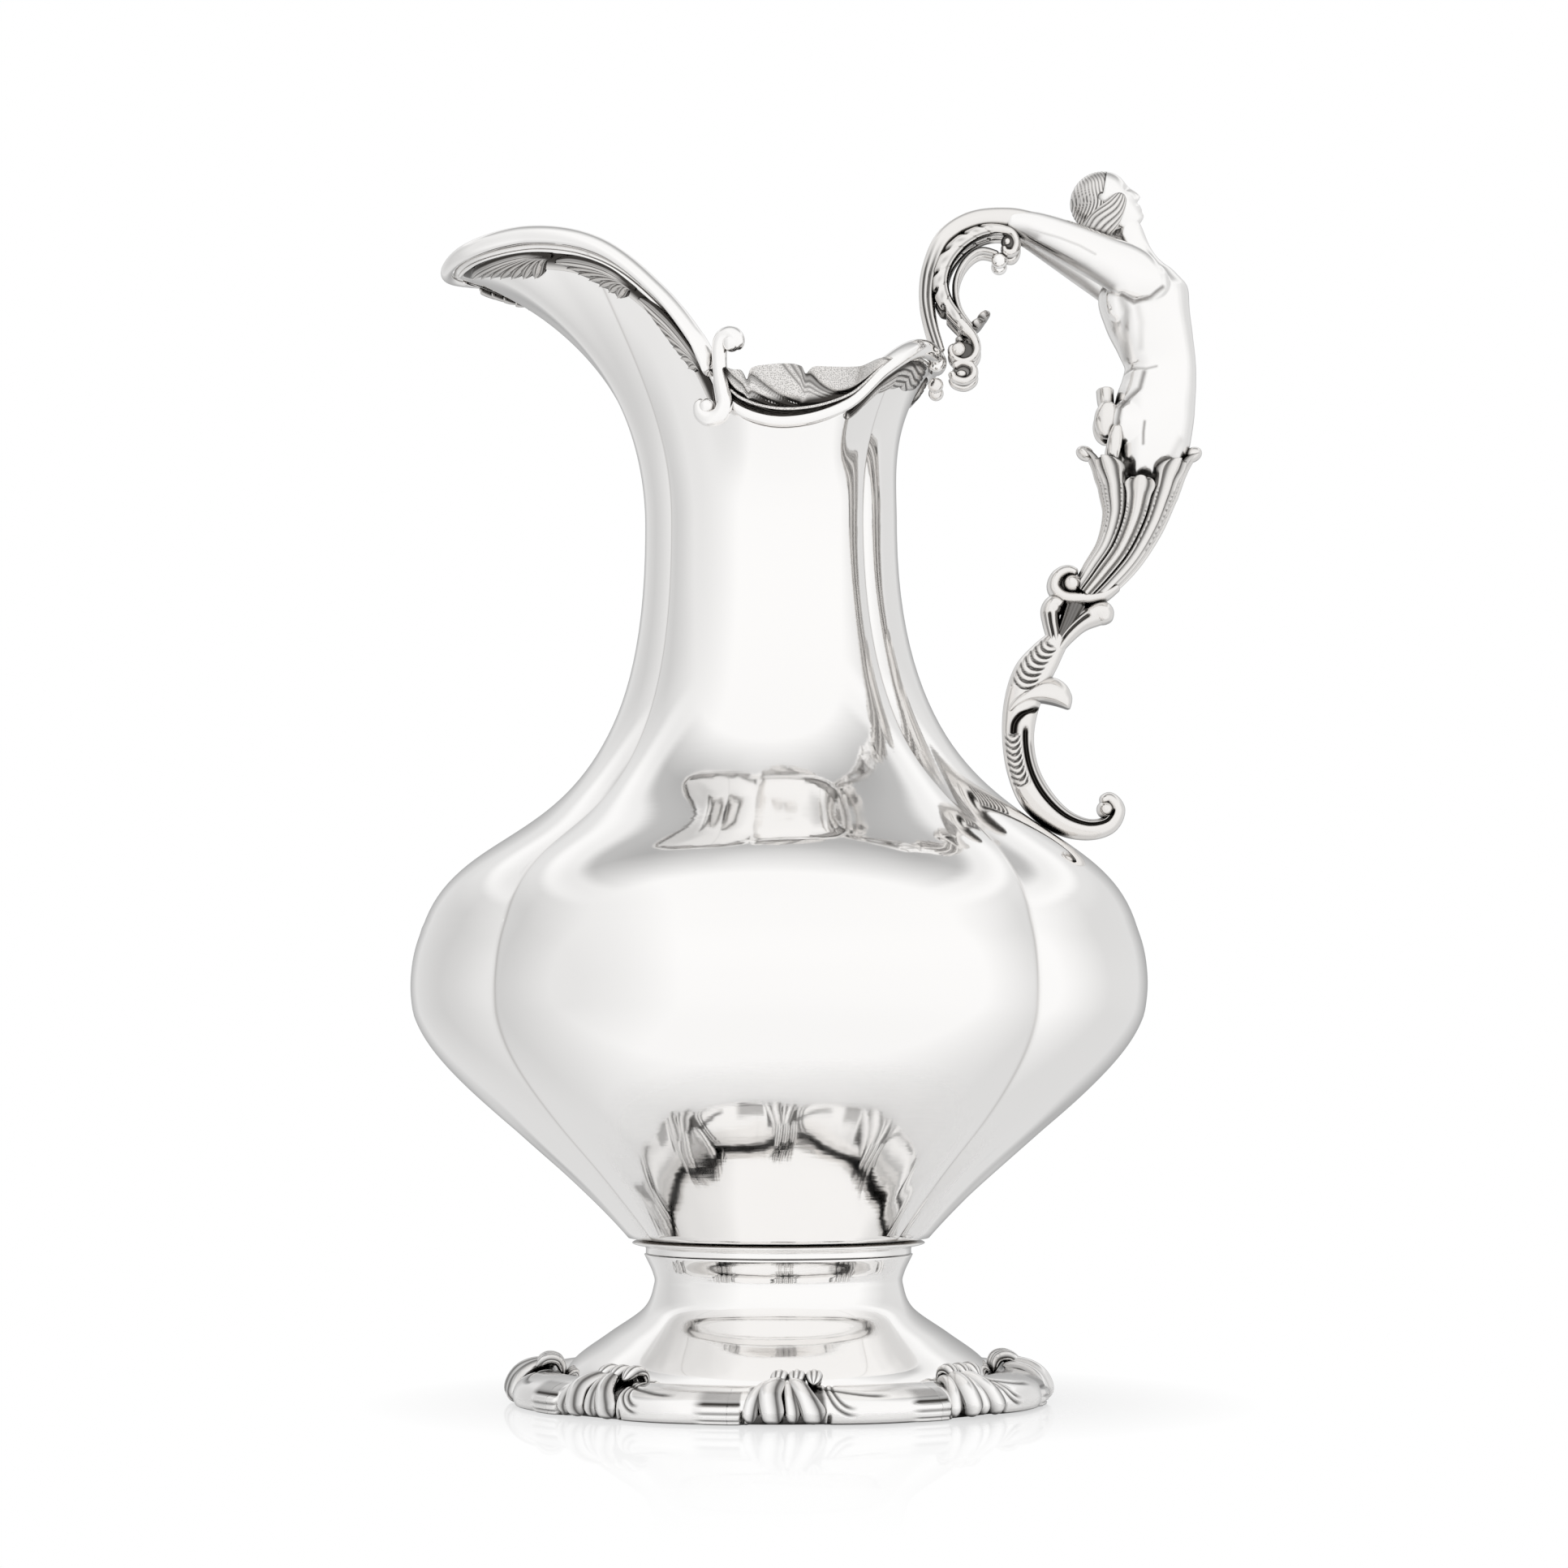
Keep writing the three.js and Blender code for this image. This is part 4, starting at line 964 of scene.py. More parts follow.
def add_petal(bm, middle):
    """Strap leaf with ribs along its middle and both edges, and a row of dots on each side."""
    wide = pi / CALYX_PETALS
    start, flare = PETALS[round(abs(sin(middle)) * 2)]

    def strap(t, turn):
        u = cos(turn)
        tip = clamp(1 - t / 0.2)
        half = wide * (0.97 - 0.3 * tip ** 6) * (1 + 0.12 * bump(t, 0.08, 0.06))
        if is_under(turn):
            lift, dark = -0.3, 0.7
        else:
            channel = bump(abs(u), 0.5, 0.13)
            dot = bump((t * 34) % 1, 0.5, 0.2) * window(t, 0.25, 0.58, 0.02) * bump(abs(u), 0.76, 0.07)
            ribs = 0.5 + 0.9 * bump(u, 0, 0.3) + 0.7 * bump(abs(u), 0.8, 0.14)
            lift = ribs * (1 - u ** 12) * (1.1 - 0.4 * t) - 0.3 * channel - 0.25 * dot
            dark = clamp(channel * 0.95 + u ** 10 + dot)
        point, ahead = on_horn(mix(start, 1, t), middle + half * u, lift + flare * tip ** 2)
        return point + ahead * (0.5 * tip ** 3 * (u * u * 2 - 0.4)), dark

    add_loft(bm, 56, 90, strap)


def add_calyx(bm):
    add_loft(bm, 48, 40, horn_core)
    for petal in range(CALYX_PETALS):
        add_petal(bm, tau * petal / CALYX_PETALS)
    add_ball(bm, on_handle(14.6, 95.8), (2.5, 3.6, 1.9), -0.5)
    add_ball(bm, on_handle(42.2, 95.2), (2.6, 3.6, 1.9), 0.45)


# Figure

TORSO = [
    (30.2, 85.4, 4, 4.4), (30.4, 90, 7.6, 7.8), (31.2, 96, 9.3, 9.8), (31.9, 101, 9.7, 10.3),
    (32.8, 107.4, 9.6, 10.4), (34.1, 113.7, 8.6, 9.6), (34.5, 118.9, 8.2, 9.2), (33.2, 125.2, 9.4, 10.1),
    (31.5, 131.5, 10.4, 11.2), (30.4, 137.8, 10.4, 11.6), (29.9, 142.8, 7.6, 8.4), (29.4, 147, 4.2, 4.4),
    (26.8, 154.4, 3.8, 3.8), (24.4, 159, 3.6, 3.6),
]
ARM = [
    (34.2, 135.2, 2.4, 3, -9), (31.6, 137.5, 4.4, 5.3, -9.8), (27.3, 140.8, 4.4, 6.8, -9.8),
    (19.5, 145.3, 4, 6.2, -8.2), (10.3, 150.5, 3.6, 5.3, -6), (3.2, 154.1, 3, 4.3, -4.4),
    (-4.2, 157, 2.5, 2.8, -3.2),
]
# Lines chased on both sides of the figure, and broad strokes of painted shade: reach and rise of their
# points, half width, depth and darkness
FIGURE_LINES = [
    ([(24.4, 134.8), (27.7, 133), (31.9, 134), (35.2, 136.6)], 0.45, 0.3, 0.7),
    # Broad strokes of painted shade over the torso's left side
    ([(24.6, 134.4), (25.6, 131), (25.2, 126), (25.6, 120)], 1.0, 0.15, 0.4),
    ([(28.6, 132), (29.4, 128), (29, 122)], 0.9, 0.1, 0.16),
    # Chased lines of the waist, hip and dimple
    ([(24.6, 116), (27.4, 116.9), (30.4, 116.4), (33.1, 116.9)], 0.32, 0.15, 0.5),
    ([(29.8, 115.6), (28.6, 111.4), (25.6, 108.8), (23.4, 106.4), (22.4, 101)], 0.6, 0.3, 0.7),
    ([(29.6, 102.4), (29.2, 99.6), (29.1, 96.6)], 0.3, 0.25, 0.7),
    # Painted shadow along the torso's lower edge, above the petals
    ([(22.6, 93.4), (26.4, 88.8), (30, 87.6), (33.4, 88.8), (36.2, 93), (38.8, 98)], 0.9, 0.0, 0.2),
    # Chased line along the arm
    ([(1, 153.4), (9, 150.4), (14, 148), (18, 145.4)], 0.3, 0.06, 0.3),
    # Painted shade over the far arm and round the hand
    ([(0, 151.6), (8, 146.8), (15, 142.4), (22, 136.8)], 1.1, 0.0, 0.65),
    ([(-2.4, 152.8), (0.4, 152.2), (2.6, 151)], 1.5, 0.0, 0.6),
]


def add_figure(bm):
    add_sweep(bm, drawn(TORSO), 48, 80)
    for side in (-1, 1):
        arm = [(reach, rise, across, deep, spread * -side) for reach, rise, across, deep, spread in ARM]
        add_sweep(bm, drawn(arm), 32, 60, blunt=0.03)
        add_ball(bm, on_handle(31.6, 138.4, side * 9), (5.4, 4.6, 5.6))
        add_ball(bm, on_handle(26.2, 102.6, side * 4.6), (6, 5, 6.6))
        add_ball(bm, on_handle(24.6, 134.6, side * 5.4), (4.6, 4, 6))


def from_stroke(reach, rise, points):
    """Distance of a place on the handle's drawing from a line through the points."""
    nearest = inf
    for (x1, y1), (x2, y2) in zip(points, points[1:]):
        run, climb = x2 - x1, y2 - y1
        share = clamp(((reach - x1) * run + (rise - y1) * climb) / (run * run + climb * climb))
        nearest = min(nearest, hypot(reach - x1 - share * run, rise - y1 - share * climb))
    return nearest


def chase_and_shade(skin, lines):
    """Sinks and darkens a skin along lines, on its faces that look to either side: chased lines, and broad
    strokes of painted shade.
    """
    hollow = skin.verts.layers.float.new("hollow")
    skin.normal_update()
    moves = []
    for vert in skin.verts:
        rise = (vert.co.z - LOWER.z) / HANDLE_SCALE
        reach = (vert.co.x - on_handle(0, rise).x) / HANDLE_SCALE
        if abs(vert.normal.y) < 0.15:
            continue
        for points, width, depth, dark in lines:
            share = bump(from_stroke(reach, rise, points), 0, width)
            if share > 0.01:
                moves.append((vert, vert.normal * depth * share))
                vert[hollow] = max(vert[hollow], dark * share)
    for vert, move in moves:
        vert.co -= move


def make_figure(finish):
    work = new_work()
    add_figure(work)
    skin = fused(work, voxel=0.315, rounds=5)
    chase_and_shade(skin, FIGURE_LINES)
    nodes = ["figure_torso", "figure_arm_near", "figure_arm_far"]
    finish_piece(skin, "figure_body", finish, nodes)


# Head: drawn along its own forward, side and up directions, tilted back
HEAD_TILT = radians(36)
HEAD_CENTRE = (20.9, 161.8)
FACE = [
    # up, forward reach, backward reach, half breadth
    (-10.6, 3.4, -0.6, 1.6), (-9.6, 5.4, 1.2, 3.2), (-7.6, 6.4, 3.2, 4.6), (-5.2, 6.9, 5.4, 5.6),
    (-2.6, 7.2, 7, 6.3), (0, 7.5, 7.6, 6.4), (3, 7.3, 7.5, 6.2), (5.6, 5.8, 6.6, 5), (7.1, 3.2, 4.6, 3.2),
    (7.7, 0.6, 1.6, 1),
]


def on_head(forward, side, up):
    ahead = Vector((cos(HEAD_TILT), 0, sin(HEAD_TILT)))
    crown = Vector((-sin(HEAD_TILT), 0, cos(HEAD_TILT)))
    return on_handle(*HEAD_CENTRE) + ahead * forward + ACROSS * side + crown * up


def skull_ring(t, turn):
    up = mix(FACE[0][0], FACE[-1][0], t)
    front, back, breadth = along(FACE, up)
    forward = cos(turn) * (front if cos(turn) > 0 else back)
    side = sin(turn) * breadth
    nose = 1.7 * bump(side, 0, 1.1) * ease(0.6, -4.4, up) * (1 - ease(-4.6, -5.4, up))
    lips = 0.5 * bump(side, 0, 1.8) * (bump(up, -6.5, 0.5) + bump(up, -7.5, 0.5))
    chin = 0.6 * bump(side, 0, 2) * bump(up, -9.2, 0.9)
    sockets = 0.8 * (bump(side, 2.7, 1.2) + bump(side, -2.7, 1.2)) * bump(up, -1.2, 0.9)
    features = (nose + lips + chin - sockets) * ease(0, 1, cos(turn))
    return on_head(forward + features, side, up), 0


def add_skull(bm):
    add_loft(bm, 64, 70, skull_ring)
    for side in (-1, 1):
        add_ball(bm, on_head(-0.2, side * 6.2, -2.4), (1.1, 0.7, 1.8), HEAD_TILT)


HAIR_TURNS = (radians(44), radians(238))
HAIR_ROLL = [
    # forward, out to the side, up, half width and thickness
    (4.4, 6, -2.2, 1.2, 1), (1.8, 6.6, -3.3, 2.5, 1.7), (-1.2, 6.4, -4.3, 3.5, 2.2),
    (-4.4, 5.2, -5.1, 4, 2.6), (-7.4, 3, -5.4, 3.7, 2.8), (-8.8, 0, -5.4, 3.4, 2.8),
]


def hair_cap(t, turn):
    """Cap of hair from the brow to the nape, in locks that run upwards and bend back."""
    over = mix(*HAIR_TURNS, t)
    across = 1.42 * cos(turn)
    forward = cos(over) * cos(across)
    up = sin(over) * cos(across)
    if is_under(turn):
        radius, dark = 7.2, 0
    else:
        level = forward * cos(HEAD_TILT) - up * sin(HEAD_TILT)
        rise = forward * sin(HEAD_TILT) + up * cos(HEAD_TILT)
        lock = ridge(9 * level + 3 * rise * rise + 0.25 * sin(7 * rise))
        radius = 7.9 + 0.22 * lock
        dark = clamp((1 - lock) * (0.9 + ease(0.5, -0.3, rise)) + bump(t, 0, 0.02))
    return on_head(forward * radius * 1.02 - 0.5, sin(across) * (radius - 0.5), up * radius + 0.2), dark


def waved_section(t, turn):
    lock = ridge(turn / tau * 14 + 0.6 * sin(8 * t) + 0.8 * t)
    size = 0.86 + 0.14 * lock
    return cos(turn) * size, sin(turn) * size, clamp((1 - lock) * 1.4)


def add_hair(bm):
    add_loft(bm, 110, 220, hair_cap)
    crown = on_head(0, 0, 1) - on_head(0, 0, 0)
    for side in (-1, 1):
        rows = [(*on_head(forward, side * out, up), *sizes) for forward, out, up, *sizes in HAIR_ROLL]
        add_sweep(bm, rows, 90, 80, waved_section, side=crown, blunt=0.08)


def make_head(skin_finish, hair_finish):
    work = new_work()
    add_skull(work)
    skin = fused(work, voxel=0.22, rounds=3)
    finish_piece(skin, "figure_face", skin_finish, ["figure_head"])
    make_single("figure_hair", add_hair, hair_finish, "figure_head")


HIP_BAND = [(20.6, 106.6, 4.6, 2), (20.2, 109.6, 5.2, 2.2), (20.1, 112.6, 5.4, 2.3)]
HIP_LEAVES = [
    # rows of a leaf and how far it lies off the middle plane
    ([(21, 108.4, 2.8, 1.8), (20.3, 105, 3.6, 3.1), (20.1, 101.6, 3.4, 2.9), (21, 98.8, 2.2, 1.2)], 4.8),
    ([(22.8, 102, 2, 1.2), (22.1, 98.2, 2.8, 1.9), (21.6, 94.8, 2.6, 1.7), (21.8, 92.2, 1.6, 1)], 7.6),
]


def add_hip_leaves(bm):
    add_sweep(bm, drawn(HIP_BAND), 40, 24, blunt=0.07)
    for side in (-1, 1):
        for rows, spread in HIP_LEAVES:
            add_sweep(bm, drawn(rows, side * spread), 28, 30, blunt=0.1)


# Upper scroll

STRAND = [
    (4, 155.2, 2.4, 2.8, -4.5), (-3.8, 157.1, 2.45, 2.8, -3.3), (-13.3, 156.5, 2.3, 2.6, -3.2),
    (-20.4, 152.2, 2.2, 2.4, -3.2), (-24.2, 144.4, 2.1, 2.3, -3.2), (-25.4, 136.6, 2, 2.1, -3.3),
    (-24.6, 129.6, 1.9, 1.8, -3.8), (-22.4, 121.5, 1.6, 1.5, -5),
]


def strand_section(t, turn):
    b = sin(turn)
    split = ease(0.45, 0.65, t)
    groove = split * (bump(b, 0.15, 0.16) + bump(b, -0.5, 0.14))
    return cos(turn) * (1 - 0.3 * groove), b, clamp(groove * 1.3)


def add_strand(bm):
    add_sweep(bm, drawn(STRAND), 44, 120, strand_section, blunt=0.01)


LEAF_PATH = [
    (-5.4, 149.8, 1.6, 0.7), (-4.7, 148, 2, 1), (-2.9, 147.9, 2.2, 1.15), (-1.9, 150.2, 2.4, 1.15),
    (-3, 152.7, 2.5, 1.2), (-6, 153.8, 2.6, 1.4), (-10, 153.7, 2.7, 1.7), (-13.8, 152.2, 2.8, 1.9),
    (-17.2, 149.8, 2.8, 2.1), (-20.1, 146.2, 2.8, 2.2), (-21.7, 142, 2.8, 2.2), (-21.8, 138.4, 2.8, 2.2),
    (-20.8, 135, 2.7, 2.2), (-19, 132.2, 2.6, 2), (-15.9, 128.4, 2.4, 1.7), (-13.6, 125.6, 2.2, 1.3),
    (-12.8, 122.5, 2.1, 1.1), (-13.9, 120.3, 2, 1.05), (-16.4, 119.4, 2, 1), (-18.8, 120.6, 1.9, 1),
    (-19.4, 122.7, 1.8, 0.9), (-18.2, 123.9, 1.6, 0.7),
]
LEAF_LOBES = 6


def acanthus_section(t, turn):
    """Leaf whose outer edge is cut into lobes that lap over one another, with a vein near its inner edge."""
    b = sin(turn)
    leafy = window(t, 0.23, 0.7, 0.03)
    phase = (LEAF_LOBES * (t - 0.23) / 0.47 + 0.4 * b + 0.16 * sin(23 * t)) % 1
    notch = leafy * (bump(phase, 0, 0.07) + bump(phase, 1, 0.14)) * ease(-0.15, -0.65, b)
    fold = leafy * bump(phase, 0.55, 0.16) * bump(b, -0.1, 0.3)
    vein = leafy * bump(b, 0.55, 0.08)
    swell = leafy * 0.14 * (phase - 0.5)
    size = 1 + swell - 0.3 * notch - 0.14 * vein - 0.1 * fold
    reach = b * (1 - 0.45 * notch) if b < 0 else b
    shade = notch * 1.5 + vein * 0.8 + 0.35 * fold + leafy * (ease(0.8, 0.97, b) + ease(-0.82, -0.98, b))
    return cos(turn) * size, reach, clamp(shade)


STEM = [
    (-6.4, 147.6, 2, 0.8), (-11.4, 148.6, 2.1, 0.9), (-15.6, 145.4, 2.1, 0.9), (-17.9, 139.8, 2.1, 0.9),
    (-17.2, 133.6, 2, 0.8), (-13.8, 128.4, 1.8, 0.6),
]
LOOP_ANGLES = (2.6, 1.6, 0.6, -0.4, -1.4, -2.4, -3.2)
LEAF_BALLS = [
    # reach, rise and spread, radii, darkness
    ((-3.8, 150.6, -4), (2.2, 1.4, 2.2), 0.9),
    ((-4.3, 150.6, -4.8), (1.0, 1.4, 1.1), 0),
    ((-15.9, 122, -4.2), (2.6, 1.4, 2.5), 0.9),
    ((-17.5, 122.5, -5), (2, 2.3, 2), 0),
    ((-16.5, 116.8, -3.6), (2.6, 1.2, 2.1), 0.75),
    ((-16.9, 116.2, -4.2), (1.5, 1.4, 1.1), 0),
    ((-23.6, 113, -5.6), (2, 2, 2), 0),
]


def stem_section(t, turn):
    return cos(turn), sin(turn), 0.9 * ease(0.2, -0.4, sin(turn))


def add_handle_leaf(bm):
    """Acanthus leaf with a curl at both ends, a thin stem inside it, and a small loop and ball below."""
    add_sweep(bm, drawn(LEAF_PATH, -4.2), 48, 320, acanthus_section, blunt=0.015)
    add_sweep(bm, drawn(STEM, -3.4), 18, 60, stem_section, blunt=0.04)
    loop = [(-16.5 + 3 * cos(angle), 116.7 + 2.5 * sin(angle), 1.9, 1.05) for angle in LOOP_ANGLES]
    add_sweep(bm, drawn(loop, -4.2), 20, 60, blunt=0.04)
    for place, radii, dark in LEAF_BALLS:
        add_ball(bm, on_handle(*place), radii, dark=dark)


def add_pearl(bm):
    add_ball(bm, on_handle(-6.5, 145.9, -3.8), (2.1, 2.1, 2.1))


SPUR = [(-17.8, 124.6, 2.6, 0.9), (-14.4, 127.6, 3, 1), (-11.6, 130.6, 2.4, 1), (-9.4, 133.4, 1, 0.8)]
SPUR_LOBES = 4
SPUR_RELIEF = 1.6


def spur_section(t, turn):
    """Leaf with lobed edges and ribs that slant back from a middle vein."""
    u = cos(turn)
    beat = (SPUR_LOBES * t) % 1
    half = 1 - 0.35 * (1 - sin(pi * beat ** 0.7)) if 0.02 < t < 0.98 else 0.5
    if is_under(turn):
        return u * half, -1, 0.6
    rib = ridge(SPUR_LOBES * t - 0.6 * abs(u))
    vein = bump(u, 0, 0.13)
    height = 0.5 * sqrt(max(1 - u * u, 0)) + 0.5 * rib * min(abs(u) * 2.5, 1) - 0.35 * vein + 0.1
    return u * half, SPUR_RELIEF * height, clamp((1 - rib) * 1.5 * min(abs(u) * 2, 1) + 0.7 * vein)


def add_spur(bm):
    add_sweep(bm, drawn(SPUR), 26, 40, spur_section, blunt=0.06)


# Finishes

SILVER = (0.94, 0.93, 0.92, 1)
# Chased silver a tone darker than the polished: painted shade, standing in for the darker surroundings that
# chased work mirrors
SHADED_CHASED_SILVER = (0.84, 0.82, 0.8, 1)
SHADE = (0.35, 0.33, 0.31, 1)
SKIN_SHADE = (0.12, 0.11, 0.1, 1)
# Near black for oxide in chased hollows, and for painted shade where the pieces are closed in
OXIDE_AND_SHADE = (0.05, 0.046, 0.042, 1)


def new_material(name):
    material = bpy.data.materials.new(name)
    material.use_nodes = True
    return material, material.node_tree


def set_input(tree, socket, value):
    """Plain value or another node's output put on an input."""
    if isinstance(value, bpy.types.NodeSocket):
        tree.links.new(value, socket)
    else:
        socket.default_value = value


def set_inputs(tree, node, values):
    for name, value in values.items():
        set_input(tree, node.inputs[name.replace("_", " ")], value)


def add_node(tree, kind, **values):
    """Node with values set on its inputs, by their names."""
    node = tree.nodes.new(kind)
    set_inputs(tree, node, values)
    return node


def add_group(tree, group, **values):
    """Outputs of a node group, with values set on its inputs."""
    node = tree.nodes.new("ShaderNodeGroup")
    node.node_tree = group
    set_inputs(tree, node, values)
    return node.outputs


def calculate(tree, operation, *terms):
    """Output of a Math node on values and other nodes' outputs."""
    node = tree.nodes.new("ShaderNodeMath")
    node.operation = operation
    for socket, term in zip(node.inputs, terms):
        set_input(tree, socket, term)
    return node.outputs[0]


def mapped(tree, value, low, high, to_low=0.0, to_high=1.0):
    """Value taken from one range to another and held at the ends."""
    node = add_node(
        tree, "ShaderNodeMapRange", Value=value, From_Min=low, From_Max=high, To_Min=to_low, To_Max=to_high)
    return node.outputs["Result"]


def mixed_colour(tree, factor, a, b, blend="MIX"):
    node = tree.nodes.new("ShaderNodeMix")
    node.data_type = "RGBA"
    node.blend_type = blend
    set_inputs(tree, node, {"Factor": factor, "A": a, "B": b})
    return node.outputs["Result"]


def mixed_shader(tree, share, first, second):
    node = tree.nodes.new("ShaderNodeMixShader")
    for socket, value in zip(node.inputs, (share, first, second)):
        tree.links.new(value, socket)
    return node.outputs["Shader"]


def new_group(name, inputs, outputs):
    """Node group with plain values as its inputs and outputs, and the sockets inside it."""
    group = bpy.data.node_groups.new(name, "ShaderNodeTree")
    for way, sockets in (("INPUT", inputs), ("OUTPUT", outputs)):
        for socket in sockets:
            group.interface.new_socket(socket, in_out=way, socket_type="NodeSocketFloat")
    return group, group.nodes.new("NodeGroupInput").outputs, group.nodes.new("NodeGroupOutput").inputs


def hand_work_group():
    """Surface of hand-raised metal: long soft waves and fine polishing lines, as heights, and a film."""
    group, given, given_back = new_group("hand_work", ["Wave Size"], ["Height", "Film"])
    place = add_node(group, "ShaderNodeTexCoord").outputs["Object"]
    waves = add_node(
        group, "ShaderNodeTexNoise", Vector=place, Scale=given["Wave Size"], Detail=1.0, Roughness=0.4)
    stretched = add_node(group, "ShaderNodeMapping", Vector=place, Scale=(0.12, 0.12, 1))
    lines = add_node(group, "ShaderNodeTexNoise", Vector=stretched.outputs["Vector"], Scale=900.0, Detail=2.0)
    fine = calculate(group, "MULTIPLY", lines.outputs["Fac"], 0.02)
    set_input(group, given_back["Height"], calculate(group, "ADD", waves.outputs["Fac"], fine))
    film = add_node(group, "ShaderNodeTexNoise", Vector=place, Scale=38.0, Detail=4.0)
    set_input(group, given_back["Film"], film.outputs["Fac"])
    return group


def oxide_and_shade_group():
    """How far the metal is darkened: by oxide in the drawn hollows and stippled dots, and by painted shade in
    drawn shading strokes and wherever it is closed in.
    """
    group, given, given_back = new_group("oxide_and_shade", ["Reach", "Stipple"], ["Amount"])
    hollow = add_node(group, "ShaderNodeAttribute")
    hollow.attribute_name = "hollow"
    # Painted shade: darker wherever nearby surfaces close the metal in
    open_air = add_node(group, "ShaderNodeAmbientOcclusion", Distance=given["Reach"])
    open_air.samples = 8
    shut = mapped(group, open_air.outputs["AO"], 0.72, 0.2)
    deepest = calculate(group, "MAXIMUM", shut, hollow.outputs["Fac"])
    place = add_node(group, "ShaderNodeTexCoord").outputs["Object"]
    dots = add_node(group, "ShaderNodeTexVoronoi", Vector=place, Scale=2900.0, Randomness=0.6)
    punched = mapped(group, dots.outputs["Distance"], 0.5, 0.25)
    stippled = calculate(group, "MULTIPLY", punched, given["Stipple"])
    set_input(group, given_back["Amount"], calculate(group, "MAXIMUM", deepest, stippled))
    return group


def silver_finish(name, bright, dark, reach, roughness, wave_size, wave_height, stipple=0.0):
    """Silver with hand-made waves, a patchy film, and a dark tint for oxide in hollows, and painted shade
    where it is shut in within a reach.
    """
    material, tree = new_material(name)
    work = add_group(tree, hand_work, Wave_Size=wave_size)
    raised = add_node(tree, "ShaderNodeBump", Height=work["Height"], Strength=1.0, Distance=wave_height * MM)
    oxide_and_shade_share = add_group(tree, oxide_and_shade, Reach=reach * MM, Stipple=stipple)["Amount"]
    set_inputs(tree, tree.nodes["Principled BSDF"], {
        "Metallic": 1,
        "Base Color": mixed_colour(tree, oxide_and_shade_share, bright, dark),
        "Roughness": mapped(tree, work["Film"], 0.35, 0.75, roughness * 0.7, roughness * 1.4),
        "Normal": raised.outputs["Normal"],
    })
    return material


# Stage

FLOOR_RADIUS = 1.6
# How far off the middle, in metres, a share of the floor starts and stops to change, and its two values
FLOOR_CLEAR = (0.06, 0.1, 0.0, 1.0)
FLOOR_WHITE = (0.06, 0.115, 0.72, 1.0)
FLOOR_IMAGE = (0.06, 0.27, 0.13, 0.0)


def make_floor():
    """Glossy white sheet: it keeps the jug's shadow and mirror image close by and is plain white further off.

    The silver mirrors it only close to the foot, and sees through it further off.
    """
    bm = bmesh.new()
    bmesh.ops.create_circle(bm, cap_ends=True, segments=96, radius=FLOOR_RADIUS)
    mesh = bpy.data.meshes.new("floor")
    bm.to_mesh(mesh)
    bm.free()
    floor = bpy.data.objects.new("floor", mesh)
    bpy.context.scene.collection.objects.link(floor)
    material, tree = new_material("pale_floor")
    sheet = tree.nodes["Principled BSDF"]
    set_inputs(tree, sheet, {"Base Color": (0.98, 0.98, 0.98, 1), "Roughness": 0.1})
    clear = add_node(tree, "ShaderNodeBsdfTransparent").outputs["BSDF"]
    white = add_node(tree, "ShaderNodeEmission", Strength=1.0).outputs["Emission"]
    image = add_node(tree, "ShaderNodeBsdfGlossy", Color=(1, 1, 1, 1), Roughness=0.0).outputs["BSDF"]
    length = tree.nodes.new("ShaderNodeVectorMath")
    length.operation = "LENGTH"
    tree.links.new(add_node(tree, "ShaderNodeTexCoord").outputs["Object"], length.inputs[0])
    ray = add_node(tree, "ShaderNodeLightPath").outputs
    surface = sheet.outputs["BSDF"]
    for shader, seen_by, change in (
        (clear, "Is Glossy Ray", FLOOR_CLEAR),
        (white, "Is Camera Ray", FLOOR_WHITE),
        (image, "Is Camera Ray", FLOOR_IMAGE),
    ):
        share = calculate(tree, "MULTIPLY", mapped(tree, length.outputs["Value"], *change), ray[seen_by])
        surface = mixed_shader(tree, share, surface, shader)
    tree.links.new(surface, tree.nodes["Material Output"].inputs["Surface"])
    mesh.materials.append(material)


# Brightness of the studio by how high the direction points
FRONT_LIGHT = [(-1, 1.0), (0, 1.03), (0.3, 1.04), (1, 1.02)]
REAR_LIGHT = [(-1, 0.76), (-0.3, 0.76), (0, 0.78), (0.35, 0.76), (0.5, 0.82), (0.58, 1.02), (0.68, 0.92),
              (0.76, 0.54), (0.88, 0.46), (0.96, 0.5), (1, 0.62)]
# Where the rear light takes over, by depth, and how far a direction overhead counts as depth
REAR_START = (-0.05, 0.5)
OVERHEAD_DEPTH = 0.2
# Dimming towards the left and straight behind
LEFT_DIM = (-0.95, -0.5, 0.82, 1.0)
FAR_DIM = (0.84, 1.0, 1.0, 0.5)


def grey_ramp(tree, source, stops):
    """Grey that depends on a value from -1 to 1, through stops of (value, grey)."""
    share = calculate(tree, "MULTIPLY_ADD", source, 0.5, 0.5)
    ramp = add_node(tree, "ShaderNodeValToRGB", Fac=share)
    ramp.color_ramp.interpolation = "EASE"
    elements = ramp.color_ramp.elements
    elements.remove(elements[1])
    for i, (value, grey) in enumerate(stops):
        stop = elements[0] if i == 0 else elements.new((value + 1) / 2)
        stop.position = (value + 1) / 2
        stop.color = (grey, grey, grey, 1)
    return ramp.outputs["Color"]


